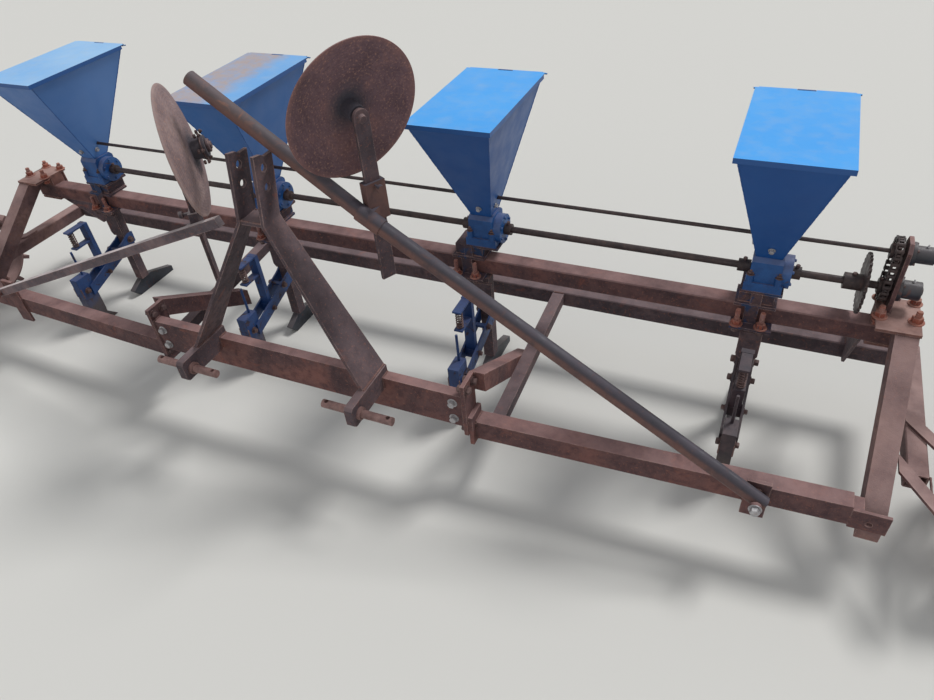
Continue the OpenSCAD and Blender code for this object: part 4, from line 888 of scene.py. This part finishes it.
for i in ROWS:
    x = row_x(i)
    for s in SIDES:
        # Head plate on the shank and the shank under the clamp plate
        welds.weld((x + s * 17, -47, 262), (x + s * 17, -47, 344), r=2.4)
        welds.weld((x + s * 17.5, -12.5, 361), (x + s * 17.5, -45, 361), r=3)
        # Boot on its arms and the spring's upright
        welds.weld((x + s * 17.5, -299, 176), (x + s * 17.5, -299, 138), r=2.4)
        welds.weld((x + s * 12, -157, 190), (x + s * 12, -173, 190), r=2)
    # Meter base plates
    shift = CLAMP_SHIFT[i]
    welds.weld((x + shift - 40, -37.5, 429), (x + shift + 40, -37.5, 429), r=2.6)
    welds.weld((x + shift - 40, 40, 429), (x + shift + 40, 40, 429), r=2.6)
# Foot of the carrier plate
for x in (1400, 1410):
    welds.weld((x, -32, 461), (x, 32, 461), r=3.2)
welds.piece("frame_welds", weld_rust, "frame", "rust_dark", 70)

# Corner seams of the seed boxes, folded and painted over
SEAM_STEPS = 60
seams = Part()
for i in ROWS:
    x = row_x(i)
    for sx in SIDES:
        for sy in SIDES:
            a, b = (at(x + sx * px, sy * py, pz) for px, py, pz in (BOX_FOOT, BOX_TOP))
            seams.tube([a.lerp(b, k / SEAM_STEPS) for k in range(SEAM_STEPS + 1)],
                       lambda k: (1.5 + 0.25 * math.sin(2.3 * k) + 0.12 * math.sin(0.7 * k)) * MM, 6)
seams.piece("seed_box_seams", FINISHES["blue_dark"], "frame", "blue_dark", 70)


# Floor, light, camera
def plane(name, size, z, colour):
    """A square floor that isn't part of the drill."""
    mesh = bpy.data.meshes.new(name)
    h = size / 2
    mesh.from_pydata([(-h, -h, z), (h, -h, z), (h, h, z), (-h, h, z)], [], [(0, 1, 2, 3)])
    obj = bpy.data.objects.new(name, mesh)
    scene.collection.objects.link(obj)
    mat = bpy.data.materials.new(name)
    mat.use_nodes = True
    mat.node_tree.nodes["Principled BSDF"].inputs["Base Color"].default_value = colour
    mat.node_tree.nodes["Principled BSDF"].inputs["Roughness"].default_value = 0.9
    mesh.materials.append(mat)


def sun(name, towards, strength, angle):
    """A broad, even light from the side that the direction names."""
    data = bpy.data.lights.new(name, "SUN")
    data.energy = strength
    data.angle = math.radians(angle)
    obj = bpy.data.objects.new(name, data)
    obj.rotation_euler = Vector(towards).to_track_quat("Z", "Y").to_euler()
    scene.collection.objects.link(obj)


plane("floor", 60, 0, srgb(214, 212, 206))
sun("key", (0.42, 0.5, 0.9), 1.9, 16)
sun("fill", (-0.3, -0.8, 0.6), 0.35, 60)

# The lamps' share of the world is dim; the camera, gloss and glass see the floor's own pale tone there
world = bpy.data.worlds.new("studio")
world.use_nodes = True
tree = world.node_tree
light = tree.nodes["Background"]
light.inputs["Color"].default_value = srgb(232, 236, 242)
light.inputs["Strength"].default_value = 0.5
seen = tree.nodes.new("ShaderNodeBackground")
seen.inputs["Color"].default_value = srgb(210, 210, 205)
path = tree.nodes.new("ShaderNodeLightPath")
direct = path.outputs["Is Camera Ray"]
for ray in ("Is Glossy Ray", "Is Transmission Ray"):
    either = tree.nodes.new("ShaderNodeMath")
    either.operation = "MAXIMUM"
    tree.links.new(direct, either.inputs[0])
    tree.links.new(path.outputs[ray], either.inputs[1])
    direct = either.outputs[0]
chosen = tree.nodes.new("ShaderNodeMixShader")
tree.links.new(direct, chosen.inputs[0])
tree.links.new(light.outputs[0], chosen.inputs[1])
tree.links.new(seen.outputs[0], chosen.inputs[2])
tree.links.new(chosen.outputs[0], tree.nodes["World Output"].inputs["Surface"])
scene.world = world

# The camera's angles and place were solved from the photograph's straight edges
YAW, PITCH, ROLL = (math.radians(a) for a in (-27.12, 40.26, 5.82))
EYE = Vector((1.087, -1.365, 1.528))
FOCAL_PX, FRAME_PX, SENSOR = 695.89, 934, 36.0
ahead = Vector((math.sin(YAW) * math.cos(PITCH), math.cos(YAW) * math.cos(PITCH), -math.sin(PITCH)))
level = Vector((math.cos(YAW), -math.sin(YAW), 0))
below = ahead.cross(level)
right = math.cos(ROLL) * level + math.sin(ROLL) * below
down = math.cos(ROLL) * below - math.sin(ROLL) * level
camera_data = bpy.data.cameras.new("camera")
camera_data.sensor_width = SENSOR
camera_data.lens = FOCAL_PX * SENSOR / FRAME_PX
camera = bpy.data.objects.new("camera", camera_data)
camera.matrix_world = Matrix.Translation(EYE) @ Matrix((right, -down, -ahead)).transposed().to_4x4()
scene.collection.objects.link(camera)
scene.camera = camera

scene.view_settings.view_transform = "Standard"
